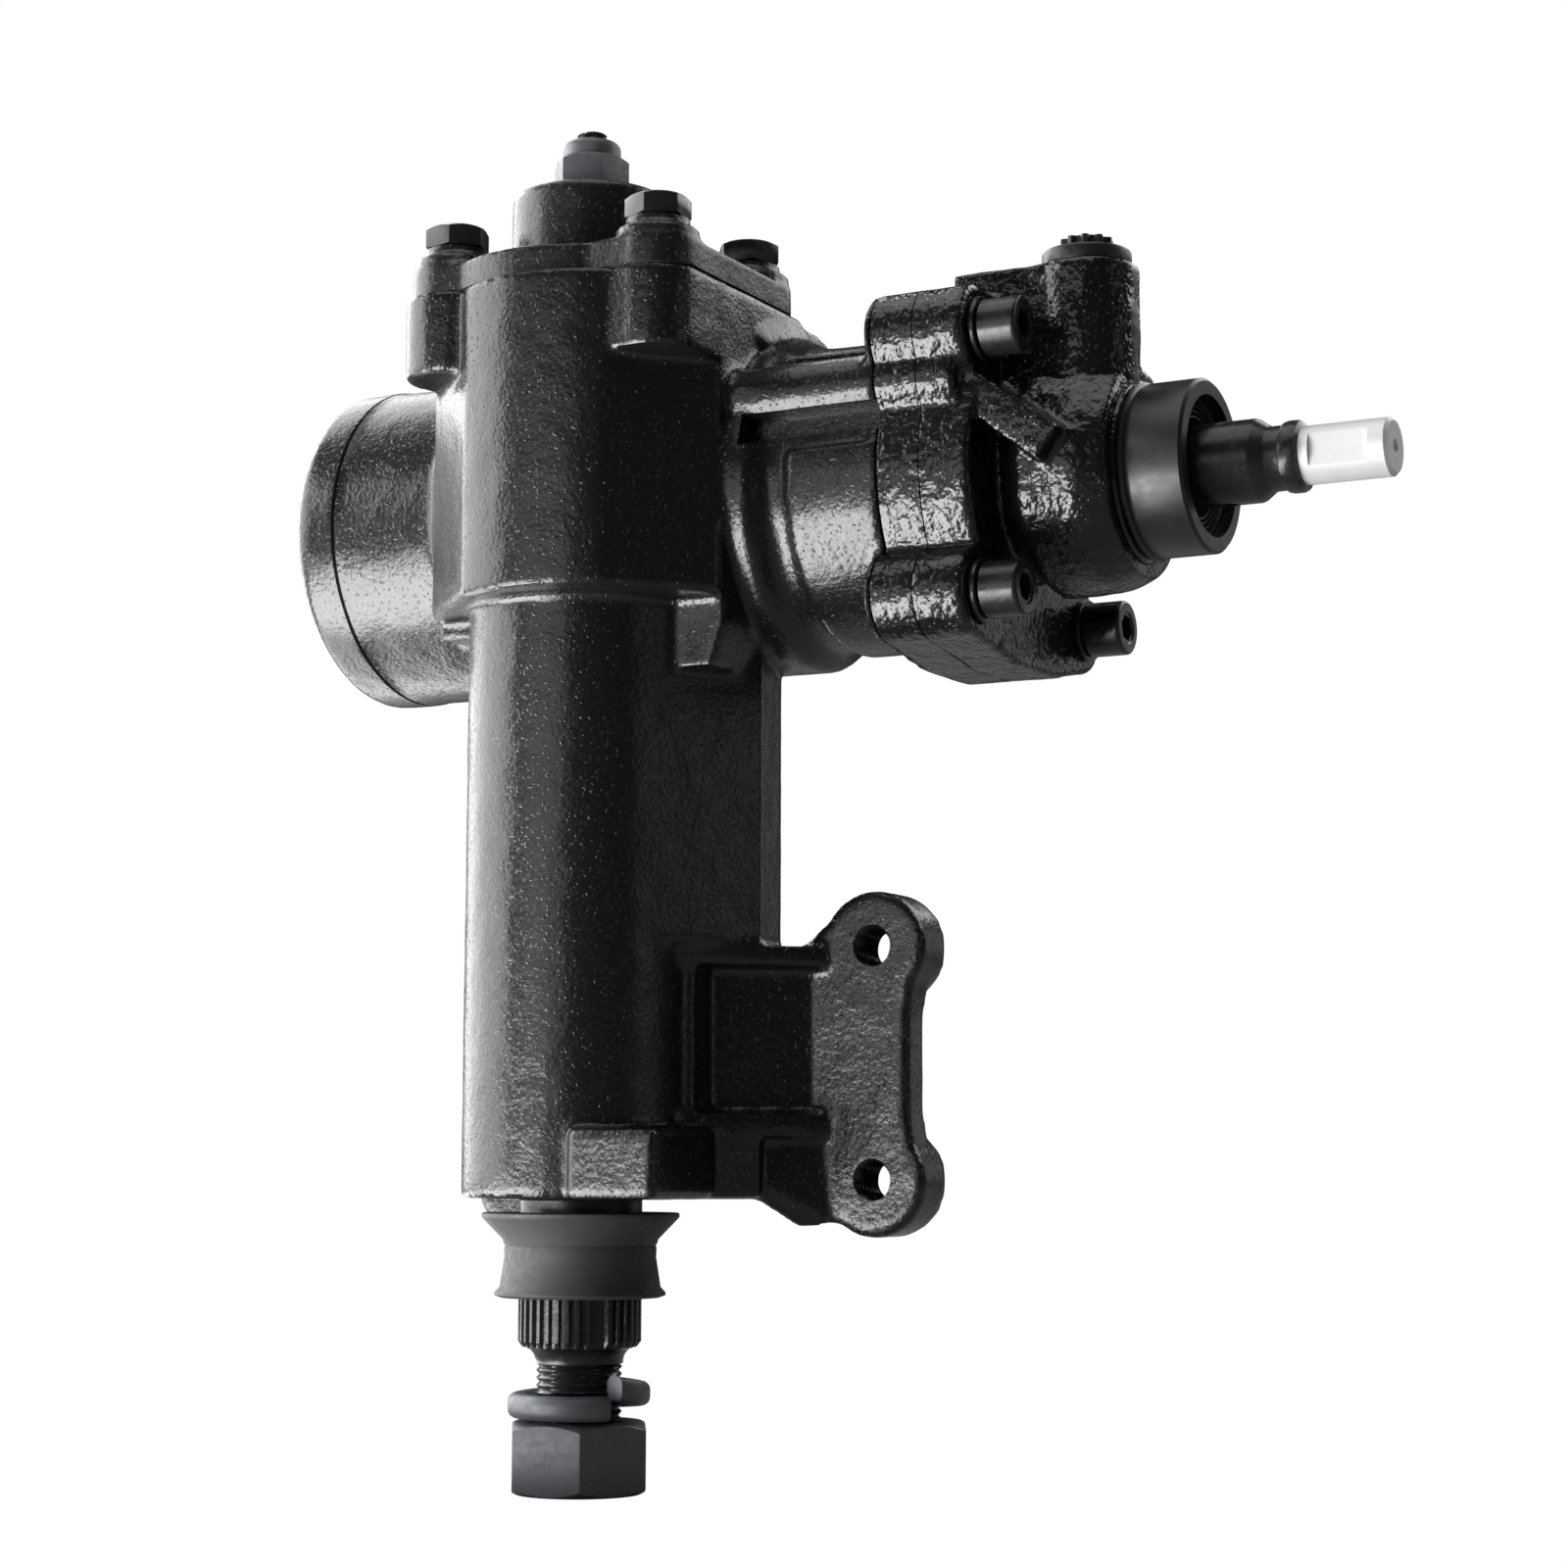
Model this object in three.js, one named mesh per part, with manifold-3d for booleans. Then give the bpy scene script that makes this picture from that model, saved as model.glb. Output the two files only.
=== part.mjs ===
// Integral power steering gear: a recirculating-ball worm drives a rack piston, and the
// rack's teeth turn a long sector shaft that carries the steering arm.
//
// Millimetres, +Z up along the sector shaft, +X along the worm towards the input shaft.
// The origin is the middle of the machined face that bolts to the chassis rail, and that
// face looks along +Y.

import * as THREE from "three";
import { mergeVertices } from "three/addons/utils/BufferGeometryUtils.js";
import Module from "manifold-3d";

const wasm = await Module();
wasm.setup();

// ---------------------------------------------------------------- driving dimensions

const GAP = 0.3;                 // seating gap between neighbouring pieces
const TURNING_GAP = 0.7;         // gap round a turning shaft, as its bearing is faceted too
const FINE = 22;                 // facets round a large cylinder
const MEDIUM = 14;               // facets round a shaft or a ring
const COARSE = 8;                // facets round a screw or a hole

// Where the sector shaft and the worm cross, seen from the origin of the part.
const SECTOR_X = -17.5;
const SECTOR_Y = -41.5;
const WORM_LEVEL = 149.2;

// Everything below is measured from the sector shaft's axis, at the worm's level.
const WORM_Y = 35;               // the worm's axis lies this far behind the sector shaft

// Sector gear and rack: nine teeth to a full turn, three of them present.
const SECTOR_FULL_TEETH = 9;
const SECTOR_PITCH_RADIUS = 17;
const TOOTH_ADDENDUM = 3.3;
const TOOTH_DEDENDUM = 4;
const PRESSURE_ANGLE = Math.PI / 6;
const BACKLASH = 0.5;
const GEAR_HALF_HEIGHT = 24;
const TOOTH_PITCH = 2 * Math.PI * SECTOR_PITCH_RADIUS / SECTOR_FULL_TEETH;
const RACK_PITCH_LINE = WORM_Y - SECTOR_PITCH_RADIUS;
const RACK_HALF_LENGTH = 28;

// Ball screw.
const BALL_LEAD = 6.6;
const BALL_RADIUS = 1.9;
const BALL_PITCH_RADIUS = 9.2;
const BALL_GROOVE_RADIUS = 3;
const WORM_RADIUS = 8.4;
const NUT_BORE_RADIUS = 9.7;

// Housing: the worm cylinder lies along X, the sector chamber and the stem along Z.
const BORE_RADIUS = 35;
const CYLINDER_RADIUS = 44.5;
const CYLINDER_LEFT = -89.5;
const CYLINDER_GROOVE = -76;
const CYLINDER_NECK_RADIUS = 39;
const CYLINDER_RIGHT_RADIUS = 41;
const CHAMBER_LEFT = -43;
const CHAMBER_RIGHT = 46;
const CHAMBER_TOP = 51.7;
const CHAMBER_BOTTOM = -30;
const CHAMBER_BORE_RADIUS = 30;
const STEM_RADIUS = 31;
const STEM_BOTTOM = -184;
const JOURNAL_BORE_RADIUS = 20;
const EAR_BOTTOM = 31;

// Side cover.
const COVER_BOTTOM = 53.1;
const COVER_TOP = 60;
const COVER_BOLT_X = [-28, 34];
const COVER_BOLT_Y = [-22.4, 26.2];
const COVER_EAR_RADIUS = 11.5;
const COVER_EAR_TOP = 63.5;
const COVER_SPOT_FACE = 66;
const COVER_BOSS_RADIUS = 21.1;
const COVER_BOSS_TOP = 82.8;
const COVER_BOLT_HEAD_TOP = 72.4;
const COVER_BOLT_ACROSS_FLATS = 15;
const ADJUSTER_TOP = 101;
const LOCK_NUT_TOP = 98.3;
const LOCK_NUT_ACROSS_FLATS = 18.2;

// Rail bracket behind the stem.
const PAD_FACE_Y = 41.5;
const BRACKET_FRONT_Y = 26.5;
const BRACKET_BACK_Y = 37.5;
const BRACKET_HOLE_X = [-36, 71];
const BRACKET_HOLE_Z = [-179.3, -119.1];
const BRACKET_HOLE_RADIUS = 5.4;
const BRACKET_EAR_RADIUS = 14.5;

// Valve end of the worm housing.
const FLANGE_SCREW_OFFSET = 33.35;
const FLANGE_EAR_RADIUS = 11.5;
const HOUSING_FACE_X = 88.4;
const ADAPTER_FACE_X = 100;
const VALVE_FLANGE_X = 113.7;
const VALVE_BODY_END_X = 144.5;
const COLLAR_START_X = 147.5;
const COLLAR_END_X = 162.7;
const COLLAR_RADIUS = 22.3;
const COLLAR_BORE_RADIUS = 18.1;
const VALVE_BORE_RADIUS = 21.8;
const PORT_TOP = 52.5;
const PORT_PLACES = [[132.5, 27], [117, 46]];   // X and Y of the pressure and return ports
const PORT_BOSS_RADIUS = 13.4;
const CROWN_END_X = 133;

// Sector shaft, from the top down.
const SHAFT_TOP = 65;
const SHAFT_TOP_RADIUS = 12.7;
const SHAFT_NECK_RADIUS = 13.2;
const SHAFT_JOURNAL_TOP = -31;
const SHAFT_JOURNAL_RADIUS = 17.4;
const SPLINE_TOP = -207;
const SPLINE_BOTTOM = -221.8;
const SPLINE_RADIUS = 15.9;
const SPLINE_ROOT_RADIUS = 14.8;
const SPLINE_COUNT = 36;
const THREAD_TOP = -225.7;
const THREAD_RADIUS = 11.1;
const SHAFT_BOTTOM = -258.2;

// Input shaft.
const INPUT_RADIUS = 10.6;
const INPUT_TIP_RADIUS = 7.4;
const INPUT_END_X = 210.3;

// ------------------------------------------------------------------- colour and finish

const FINISHES = {
  black_paint: { color: 0x0b0b0c, roughness: 0.28, metalness: 0.1 },
  black_bolt: { color: 0x101012, roughness: 0.35, metalness: 0.5 },
  phosphate: { color: 0x3a3d42, roughness: 0.6, metalness: 0.6 },
  steel: { color: 0xa9abad, roughness: 0.3, metalness: 1 },
  cast_iron: { color: 0x55575a, roughness: 0.6, metalness: 0.8 },
  bronze: { color: 0x9c7a4a, roughness: 0.4, metalness: 0.9 },
  rubber: { color: 0x1c1c1d, roughness: 0.8, metalness: 0 },
  plastic: { color: 0x121213, roughness: 0.45, metalness: 0 },
  gasket: { color: 0x2a2b2d, roughness: 0.9, metalness: 0 },
};

// ------------------------------------------------------------------------ shape tools

// Directions that a drawing's x, y and its thickness take for each axis it is swept along.
const X_AXIS = new THREE.Vector3(1, 0, 0);
const Y_AXIS = new THREE.Vector3(0, 1, 0);
const Z_AXIS = new THREE.Vector3(0, 0, 1);
const SWEEP_FRAMES = {
  x: new THREE.Matrix4().makeBasis(Y_AXIS, Z_AXIS, X_AXIS),
  y: new THREE.Matrix4().makeBasis(X_AXIS, Z_AXIS, Y_AXIS.clone().negate()),
  z: new THREE.Matrix4(),
};

function solid(geometry) {
  const bare = geometry.index ? geometry.toNonIndexed() : geometry.clone();
  bare.deleteAttribute("normal");
  bare.deleteAttribute("uv");
  const merged = mergeVertices(bare, 1e-4);
  const corners = merged.index.array;
  const kept = [];
  for (let i = 0; i < corners.length; i += 3) {
    const [a, b, c] = [corners[i], corners[i + 1], corners[i + 2]];
    if (a !== b && b !== c && c !== a) {
      kept.push(a, b, c);
    }
  }
  return new wasm.Manifold(new wasm.Mesh({
    numProp: 3,
    vertProperties: new Float32Array(merged.attributes.position.array),
    triVerts: new Uint32Array(kept),
  }));
}

// A drawing swept along an axis. On "x" the drawing is in Y and Z, on "y" in X and Z.
function swept(shape, axis, from, to) {
  const settings = { depth: to - from, bevelEnabled: false };
  const geometry = new THREE.ExtrudeGeometry(shape, settings);
  geometry.translate(0, 0, axis === "y" ? -to : from);
  geometry.applyMatrix4(SWEEP_FRAMES[axis]);
  return solid(geometry);
}

// A profile of [radius, place along the axis] turned about a line parallel to that axis.
// The centre is in the drawing's plane: [Y, Z] on "x", [X, Z] on "y" and [X, Y] on "z".
function turned(profile, axis, centre, facets = MEDIUM) {
  const sign = axis === "y" ? -1 : 1;
  const points = profile.map(([radius, place]) => new THREE.Vector2(radius, sign * place));
  if (sign < 0) {
    points.reverse();
  }
  const geometry = new THREE.LatheGeometry(points, facets);
  geometry.rotateX(Math.PI / 2);
  geometry.translate(centre[0], centre[1], 0);
  geometry.applyMatrix4(SWEEP_FRAMES[axis]);
  const body = solid(geometry);
  return body.volume() < 0 ? solid(flipped(geometry)) : body;
}

function flipped(geometry) {
  const turnedOver = geometry.clone();
  const order = turnedOver.index.array;
  for (let i = 0; i < order.length; i += 3) {
    [order[i], order[i + 1]] = [order[i + 1], order[i]];
  }
  return turnedOver;
}

function rod(radius, axis, centre, from, to, facets = MEDIUM) {
  return turned([[0, from], [radius, from], [radius, to], [0, to]], axis, centre, facets);
}

function ring(inner, outer, axis, centre, from, to, facets = MEDIUM) {
  const profile = [[inner, from], [outer, from], [outer, to], [inner, to], [inner, from]];
  return turned(profile, axis, centre, facets);
}

function block(x0, x1, y0, y1, z0, z1) {
  const geometry = new THREE.BoxGeometry(x1 - x0, y1 - y0, z1 - z0);
  geometry.translate((x0 + x1) / 2, (y0 + y1) / 2, (z0 + z1) / 2);
  return solid(geometry);
}

function polygon(points) {
  return new THREE.Shape(points.map(([x, y]) => new THREE.Vector2(x, y)));
}

function arcPoints(centre, radius, fromDegrees, toDegrees, steps) {
  const points = [];
  for (let i = 0; i <= steps; i += 1) {
    const angle = THREE.MathUtils.degToRad(fromDegrees + (toDegrees - fromDegrees) * i / steps);
    points.push([centre[0] + radius * Math.cos(angle), centre[1] + radius * Math.sin(angle)]);
  }
  return points;
}

function hexagon(centre, acrossFlats, faceDegrees) {
  const radius = acrossFlats / Math.sqrt(3);
  return polygon(arcPoints(centre, radius, faceDegrees + 30, faceDegrees + 330, 5));
}

function alongPath(path, radius, sides, steps) {
  const section = polygon(arcPoints([0, 0], radius, 0, 360 - 360 / sides, sides - 1));
  const settings = { steps, bevelEnabled: false, extrudePath: path };
  return solid(new THREE.ExtrudeGeometry(section, settings));
}

function joined(...bodies) {
  return bodies.reduce((total, body) => total.add(body));
}

function cut(body, ...tools) {
  return tools.reduce((left, tool) => left.subtract(tool), body);
}

// ----------------------------------------------------------------------- the assembly

const assembly = new THREE.Group();
assembly.position.set(SECTOR_X, SECTOR_Y, WORM_LEVEL);

function place(name, body, finish) {
  const mesh = body.getMesh();
  const geometry = new THREE.BufferGeometry();
  geometry.setAttribute("position", new THREE.BufferAttribute(mesh.vertProperties, 3));
  geometry.setIndex(new THREE.BufferAttribute(mesh.triVerts, 1));
  geometry.computeVertexNormals();
  const piece = new THREE.Mesh(geometry, new THREE.MeshStandardMaterial(FINISHES[finish]));
  piece.name = name;
  assembly.add(piece);
}

const ON_SECTOR = [0, 0];
const ON_WORM = [WORM_Y, 0];

// Corners of a rectangle of screws, front ones first.
const COVER_BOLTS = COVER_BOLT_Y.flatMap((y) => COVER_BOLT_X.map((x) => [x, y]));
const FLANGE_SCREWS = [-1, 1].flatMap((side) => [-1, 1].map((level) => [
  WORM_Y + side * FLANGE_SCREW_OFFSET,
  level * FLANGE_SCREW_OFFSET,
]));
const BRACKET_HOLES = BRACKET_HOLE_X.flatMap((x) => BRACKET_HOLE_Z.map((z) => [x, z]));

// ---------------------------------------------------------------------------- housing

// Plan of the side cover and of the flange below it: an ear round each bolt, and a belly
// that follows the sector chamber between the two front ears.
function coverOutline(inset) {
  const [left, right] = COVER_BOLT_X;
  const [front, back] = COVER_BOLT_Y;
  const ear = COVER_EAR_RADIUS - inset;
  return polygon([
    ...arcPoints([left, front], ear, 180, 285, 4),
    ...arcPoints(ON_SECTOR, 38 - inset, 240, 300, 5),
    ...arcPoints([right, front], ear, 255, 360, 4),
    ...arcPoints([right, back], ear, 0, 90, 3),
    ...arcPoints([left, back], ear, 90, 180, 3),
  ]);
}

function chamberOutline() {
  return polygon([
    [CHAMBER_LEFT, WORM_Y],
    [CHAMBER_LEFT, -10],
    ...arcPoints([3, 0], 40.5, 242, 302, 5),
    [CHAMBER_RIGHT, -10],
    [CHAMBER_RIGHT, WORM_Y],
  ]);
}

// The stem is a tube that runs out in a flat to a web on its right, and closes behind.
function stemOutline() {
  return polygon([
    ...arcPoints(ON_SECTOR, STEM_RADIUS, 180, 329, 10),
    [45, 14],
    [43, 30],
    [-30, 30],
  ]);
}

function bracketOutline() {
  const [left, right] = BRACKET_HOLE_X;
  const [low, high] = BRACKET_HOLE_Z;
  const ear = BRACKET_EAR_RADIUS;
  const middle = (low + high) / 2;
  const waist = 10;
  return polygon([
    ...arcPoints([right, low], ear, -90, 40, 5),
    [right + waist, middle - 12],
    [right + waist, middle + 12],
    ...arcPoints([right, high], ear, -40, 150, 6),
    [45, high - 4],
    [left + 20, high - 4],
    ...arcPoints([left, high], ear, 30, 220, 6),
    [left - waist, middle + 12],
    [left - waist, middle - 12],
    ...arcPoints([left, low], ear, 140, 270, 5),
    [left + 30, STEM_BOTTOM],
    [right - 28, STEM_BOTTOM],
  ]);
}

function housingBracket() {
  const plate = swept(bracketOutline(), "y", BRACKET_FRONT_Y, BRACKET_BACK_Y);
  const ears = BRACKET_HOLES.map((hole) =>
    rod(BRACKET_EAR_RADIUS, "y", hole, BRACKET_FRONT_Y, PAD_FACE_Y));
  const middle = (BRACKET_HOLE_Z[0] + BRACKET_HOLE_Z[1]) / 2;
  const pad = block(-7.5, 42.5, BRACKET_FRONT_Y, PAD_FACE_Y, middle - 22, middle + 22);
  const ribPlan = polygon([[10, -24], [30, -5], [59, 27], [10, 30]]);
  const upperRib = swept(ribPlan, "z", -124, -118.6);
  const lowerRib = swept(ribPlan, "z", -168, -162);
  const pocketPlan = polygon([[10, 0], [31, 8], [53.5, 26.5], [53.5, 30], [10, 30]]);
  const pocketWall = swept(pocketPlan, "z", -166, -120);
  const gusset = wasm.Manifold.hull([
    [20, -2, -165],
    [57, 27, -165],
    [20, 27, -165],
    [50, 24, -191],
    [60, 27, -191],
    [50, 27, -191],
  ]);
  return joined(plate, ...ears, pad, upperRib, lowerRib, pocketWall, gusset);
}

function housingStem() {
  const upper = swept(stemOutline(), "z", -118.6, CHAMBER_BOTTOM + 1);
  const tube = rod(STEM_RADIUS, "z", ON_SECTOR, STEM_BOTTOM, CHAMBER_BOTTOM + 1, FINE);
  const back = block(-30, 33, 0, BRACKET_FRONT_Y + 1, -170, -117);
  const foot = swept(stemOutline(), "z", STEM_BOTTOM, -166);
  const drainBlock = block(14.4, 38.9, -30, 0, STEM_BOTTOM, -166.5);
  const shoulderFace = polygon([[20, -29], [46, -29], [46, -36], [42, -48], [20, -48]]);
  const shoulder = swept(shoulderFace, "y", -8, 30);
  return joined(upper, tube, back, foot, drainBlock, shoulder);
}

function housingChamber() {
  const body = swept(chamberOutline(), "z", CHAMBER_BOTTOM, CHAMBER_TOP);
  const flange = swept(coverOutline(0), "z", EAR_BOTTOM, CHAMBER_TOP);
  const largeEar = rod(13.2, "z", COVER_BOLTS[0], EAR_BOTTOM, CHAMBER_TOP);
  const leftFairing = block(CHAMBER_LEFT, -20, -6, WORM_Y, -35, CHAMBER_BOTTOM + 1);
  return joined(body, flange, largeEar, leftFairing);
}

function flangePlan() {
  const reach = FLANGE_SCREW_OFFSET;
  const ear = FLANGE_EAR_RADIUS;
  const low = -reach - ear;
  return {
    ears: FLANGE_SCREWS,
    topBar: [WORM_Y - reach, WORM_Y + reach, reach - 8, reach + ear],
    bottom: polygon([
      [WORM_Y - reach, -25],
      [WORM_Y - reach, low],
      [WORM_Y - 8, low - 4],
      [WORM_Y + 14, low - 4],
      [WORM_Y + reach, low],
      [WORM_Y + reach, -25],
    ]),
  };
}

function flangeSlab(from, to, radius) {
  const plan = flangePlan();
  const [y0, y1, z0, z1] = plan.topBar;
  return joined(
    rod(radius, "x", ON_WORM, from, to, FINE),
    ...plan.ears.map((ear) => rod(FLANGE_EAR_RADIUS, "x", ear, from, to)),
    block(from, to, y0, y1, z0, z1),
    swept(plan.bottom, "x", from, to),
  );
}

function oilPassage(from, to) {
  return rod(8.4, "x", [0.8, 21.8], from, to, COARSE);
}

function housingCylinder() {
  const outer = turned([
    [0, CYLINDER_LEFT],
    [CYLINDER_RADIUS - 2, CYLINDER_LEFT],
    [CYLINDER_RADIUS + 0.5, CYLINDER_LEFT + 2.5],
    [CYLINDER_RADIUS + 0.5, CYLINDER_GROOVE - 1.5],
    [CYLINDER_RADIUS - 1, CYLINDER_GROOVE],
    [CYLINDER_RADIUS, CYLINDER_GROOVE + 1.5],
    [CYLINDER_RADIUS, 52],
    [CYLINDER_NECK_RADIUS, 56],
    [CYLINDER_NECK_RADIUS, HOUSING_FACE_X],
    [0, HOUSING_FACE_X],
  ], "x", ON_WORM, FINE);
  const panel = turned([
    [0, 62.5],
    [CYLINDER_RIGHT_RADIUS + 0.3, 62.5],
    [CYLINDER_RIGHT_RADIUS + 0.3, HOUSING_FACE_X],
    [0, HOUSING_FACE_X],
  ], "x", ON_WORM, FINE);
  const saddle = turned([
    [0, 45],
    [51, 46],
    [46.5, 48],
    [43.5, 51],
    [42, 56],
    [CYLINDER_RIGHT_RADIUS, 62],
    [CYLINDER_RIGHT_RADIUS, HOUSING_FACE_X],
    [0, HOUSING_FACE_X],
  ], "x", ON_WORM, FINE);
  return joined(
    outer,
    panel.intersect(wormWedge(171.5, 350)),
    saddle.intersect(wormWedge(28, 130)),
    flangeSlab(HOUSING_FACE_X - 2.2, HOUSING_FACE_X, CYLINDER_RIGHT_RADIUS),
    oilPassage(44, HOUSING_FACE_X),
  );
}

// A wedge of space round the worm axis, with its angles counted from +Y towards +Z.
function wormWedge(fromDegrees, toDegrees) {
  const reach = arcPoints(ON_WORM, 90, fromDegrees, toDegrees, 4);
  return swept(polygon([ON_WORM, ...reach]), "x", 40, HOUSING_FACE_X);
}

// End plug seat at the left of the bore: a counterbore, then a groove for the snap ring.
const PLUG_SEAT_X = -78;
const PLUG_RADIUS = 37.5;
const SNAP_GROOVE_X = [-86.5, -84.3];
const SNAP_GROOVE_RADIUS = 39.3;

function housing() {
  const casting = joined(housingCylinder(), housingChamber(), housingStem(), housingBracket());
  const boltHoles = COVER_BOLTS.map((bolt) => rod(5.3, "z", bolt, 33.5, CHAMBER_TOP + 1, COARSE));
  const screwHoles = FLANGE_SCREWS.map((screw) =>
    rod(4.3, "x", screw, 80, HOUSING_FACE_X + 1, COARSE));
  const railHoles = BRACKET_HOLES.map((hole) =>
    rod(BRACKET_HOLE_RADIUS, "y", hole, BRACKET_FRONT_Y - 1, PAD_FACE_Y + 1, COARSE));
  return cut(
    casting,
    rod(BORE_RADIUS, "x", ON_WORM, CYLINDER_LEFT - 1, HOUSING_FACE_X + 1, FINE),
    rod(PLUG_RADIUS, "x", ON_WORM, CYLINDER_LEFT - 1, PLUG_SEAT_X, FINE),
    rod(SNAP_GROOVE_RADIUS, "x", ON_WORM, ...SNAP_GROOVE_X, FINE),
    rod(CHAMBER_BORE_RADIUS, "z", ON_SECTOR, -26, CHAMBER_TOP + 1, FINE),
    rod(JOURNAL_BORE_RADIUS, "z", ON_SECTOR, STEM_BOTTOM - 1, -25, MEDIUM),
    ...boltHoles,
    ...screwHoles,
    ...railHoles,
  );
}

// -------------------------------------------------------------------------- side cover

const COVER_BORE_RADIUS = 14.2;
const COVER_BORE_TOP = 68;
const ADJUSTER_RADIUS = 4.2;

function sideCover() {
  const plate = swept(coverOutline(0), "z", COVER_BOTTOM, COVER_TOP);
  const ears = COVER_BOLTS.map((bolt) => rod(10.8, "z", bolt, COVER_TOP - 1, COVER_EAR_TOP));
  const seats = COVER_BOLTS.map((bolt) => rod(8.3, "z", bolt, COVER_TOP, COVER_SPOT_FACE));
  const boss = turned([
    [0, COVER_TOP - 1],
    [24, COVER_TOP - 1],
    [23, COVER_TOP + 1],
    [COVER_BOSS_RADIUS, COVER_TOP + 4],
    [COVER_BOSS_RADIUS, COVER_BOSS_TOP - 1.9],
    [COVER_BOSS_RADIUS - 1.5, COVER_BOSS_TOP - 0.2],
    [9, COVER_BOSS_TOP],
    [0, COVER_BOSS_TOP],
  ], "z", ON_SECTOR, FINE);
  const pilot = rod(CHAMBER_BORE_RADIUS - GAP, "z", ON_SECTOR, 44, COVER_BOTTOM + 1, FINE);
  const holes = COVER_BOLTS.map((bolt) => rod(5.3, "z", bolt, COVER_BOTTOM - 1, 70, COARSE));
  const screwHole = ADJUSTER_RADIUS + GAP;
  return cut(
    joined(plate, ...ears, ...seats, boss, pilot),
    rod(COVER_BORE_RADIUS, "z", ON_SECTOR, 43, COVER_BORE_TOP),
    rod(screwHole, "z", ON_SECTOR, COVER_BORE_TOP - 1, COVER_BOSS_TOP + 1, COARSE),
    ...holes,
  );
}

function coverGasket() {
  const sheet = swept(coverOutline(0.5), "z", CHAMBER_TOP + GAP, COVER_BOTTOM - GAP);
  const holes = COVER_BOLTS.map((bolt) => rod(5.6, "z", bolt, 50, 55, COARSE));
  return cut(sheet, rod(CHAMBER_BORE_RADIUS + GAP, "z", ON_SECTOR, 50, 55, FINE), ...holes);
}

function hexBolt(centre, faceDegrees, acrossFlats, headFrom, headTo, shankRadius, shankTo) {
  const head = swept(hexagon(centre, acrossFlats, faceDegrees), "z", headFrom, headTo);
  const crown = turned([
    [0, headFrom - 1],
    [acrossFlats * 0.62, headFrom - 1],
    [acrossFlats * 0.62, headTo - 1.6],
    [acrossFlats * 0.45, headTo],
    [0, headTo],
  ], "z", centre);
  return joined(head.intersect(crown), rod(shankRadius, "z", centre, shankTo, headFrom + 0.5, COARSE));
}

function adjusterScrew() {
  return turned([
    [0, 57.9],
    [6.3, 57.9],
    [6.3, 62],
    [ADJUSTER_RADIUS, 62],
    [ADJUSTER_RADIUS, ADJUSTER_TOP - 1.3],
    [ADJUSTER_RADIUS - 1.2, ADJUSTER_TOP],
    [0, ADJUSTER_TOP],
  ], "z", ON_SECTOR, COARSE);
}

function lockNut() {
  const seat = COVER_BOSS_TOP + GAP;
  const flats = swept(hexagon(ON_SECTOR, LOCK_NUT_ACROSS_FLATS, -76), "z", seat, LOCK_NUT_TOP + 1);
  const dome = turned([
    [0, seat],
    [10.7, seat],
    [10.7, LOCK_NUT_TOP - 6.3],
    [8.6, LOCK_NUT_TOP - 4.6],
    [7.8, LOCK_NUT_TOP - 4.3],
    [7.8, LOCK_NUT_TOP - 1.5],
    [5.8, LOCK_NUT_TOP],
    [0, LOCK_NUT_TOP],
  ], "z", ON_SECTOR);
  const screwHole = rod(ADJUSTER_RADIUS + GAP, "z", ON_SECTOR, seat - 1, LOCK_NUT_TOP + 2, COARSE);
  return cut(flats.intersect(dome), screwHole);
}

// ------------------------------------------------------------------------ sector shaft

// Half of one sector tooth's flank: an involute from the root to the tip. The list runs
// outwards, and holds the radius and the angle away from the middle of the tooth.
function toothFlank(steps) {
  const base = SECTOR_PITCH_RADIUS * Math.cos(PRESSURE_ANGLE);
  const involute = (angle) => Math.tan(angle) - angle;
  const halfTooth = (TOOTH_PITCH - BACKLASH) / 4 / SECTOR_PITCH_RADIUS;
  const root = SECTOR_PITCH_RADIUS - TOOTH_DEDENDUM;
  const tip = SECTOR_PITCH_RADIUS + TOOTH_ADDENDUM;
  const flank = [[root - 1, halfTooth + involute(PRESSURE_ANGLE)]];
  for (let i = 0; i <= steps; i += 1) {
    const radius = base + (tip - base) * i / steps;
    const spread = involute(Math.acos(base / radius));
    flank.push([radius, halfTooth + involute(PRESSURE_ANGLE) - spread]);
  }
  return flank;
}

function sectorTooth(aimDegrees) {
  const aim = THREE.MathUtils.degToRad(aimDegrees);
  const flank = toothFlank(4);
  const point = (radius, angle) => [radius * Math.cos(aim + angle), radius * Math.sin(aim + angle)];
  const right = flank.map(([radius, angle]) => point(radius, -angle));
  const left = flank.map(([radius, angle]) => point(radius, angle)).reverse();
  return swept(polygon([...right, ...left]), "z", -GEAR_HALF_HEIGHT, GEAR_HALF_HEIGHT);
}

// The arm's splines are even but for one that is left out, so the arm fits one way only.
function armSplines() {
  const points = [];
  const step = 360 / SPLINE_COUNT;
  const blankAt = -40;
  for (let i = 0; i < SPLINE_COUNT; i += 1) {
    const middle = blankAt + i * step;
    const crest = i === 0 ? SPLINE_ROOT_RADIUS : SPLINE_RADIUS;
    points.push(...arcPoints(ON_SECTOR, crest, middle - step * 0.2, middle + step * 0.2, 1));
    const valley = THREE.MathUtils.degToRad(middle + step / 2);
    points.push([SPLINE_ROOT_RADIUS * Math.cos(valley), SPLINE_ROOT_RADIUS * Math.sin(valley)]);
  }
  return swept(polygon(points), "z", SPLINE_BOTTOM, SPLINE_TOP);
}

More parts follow.
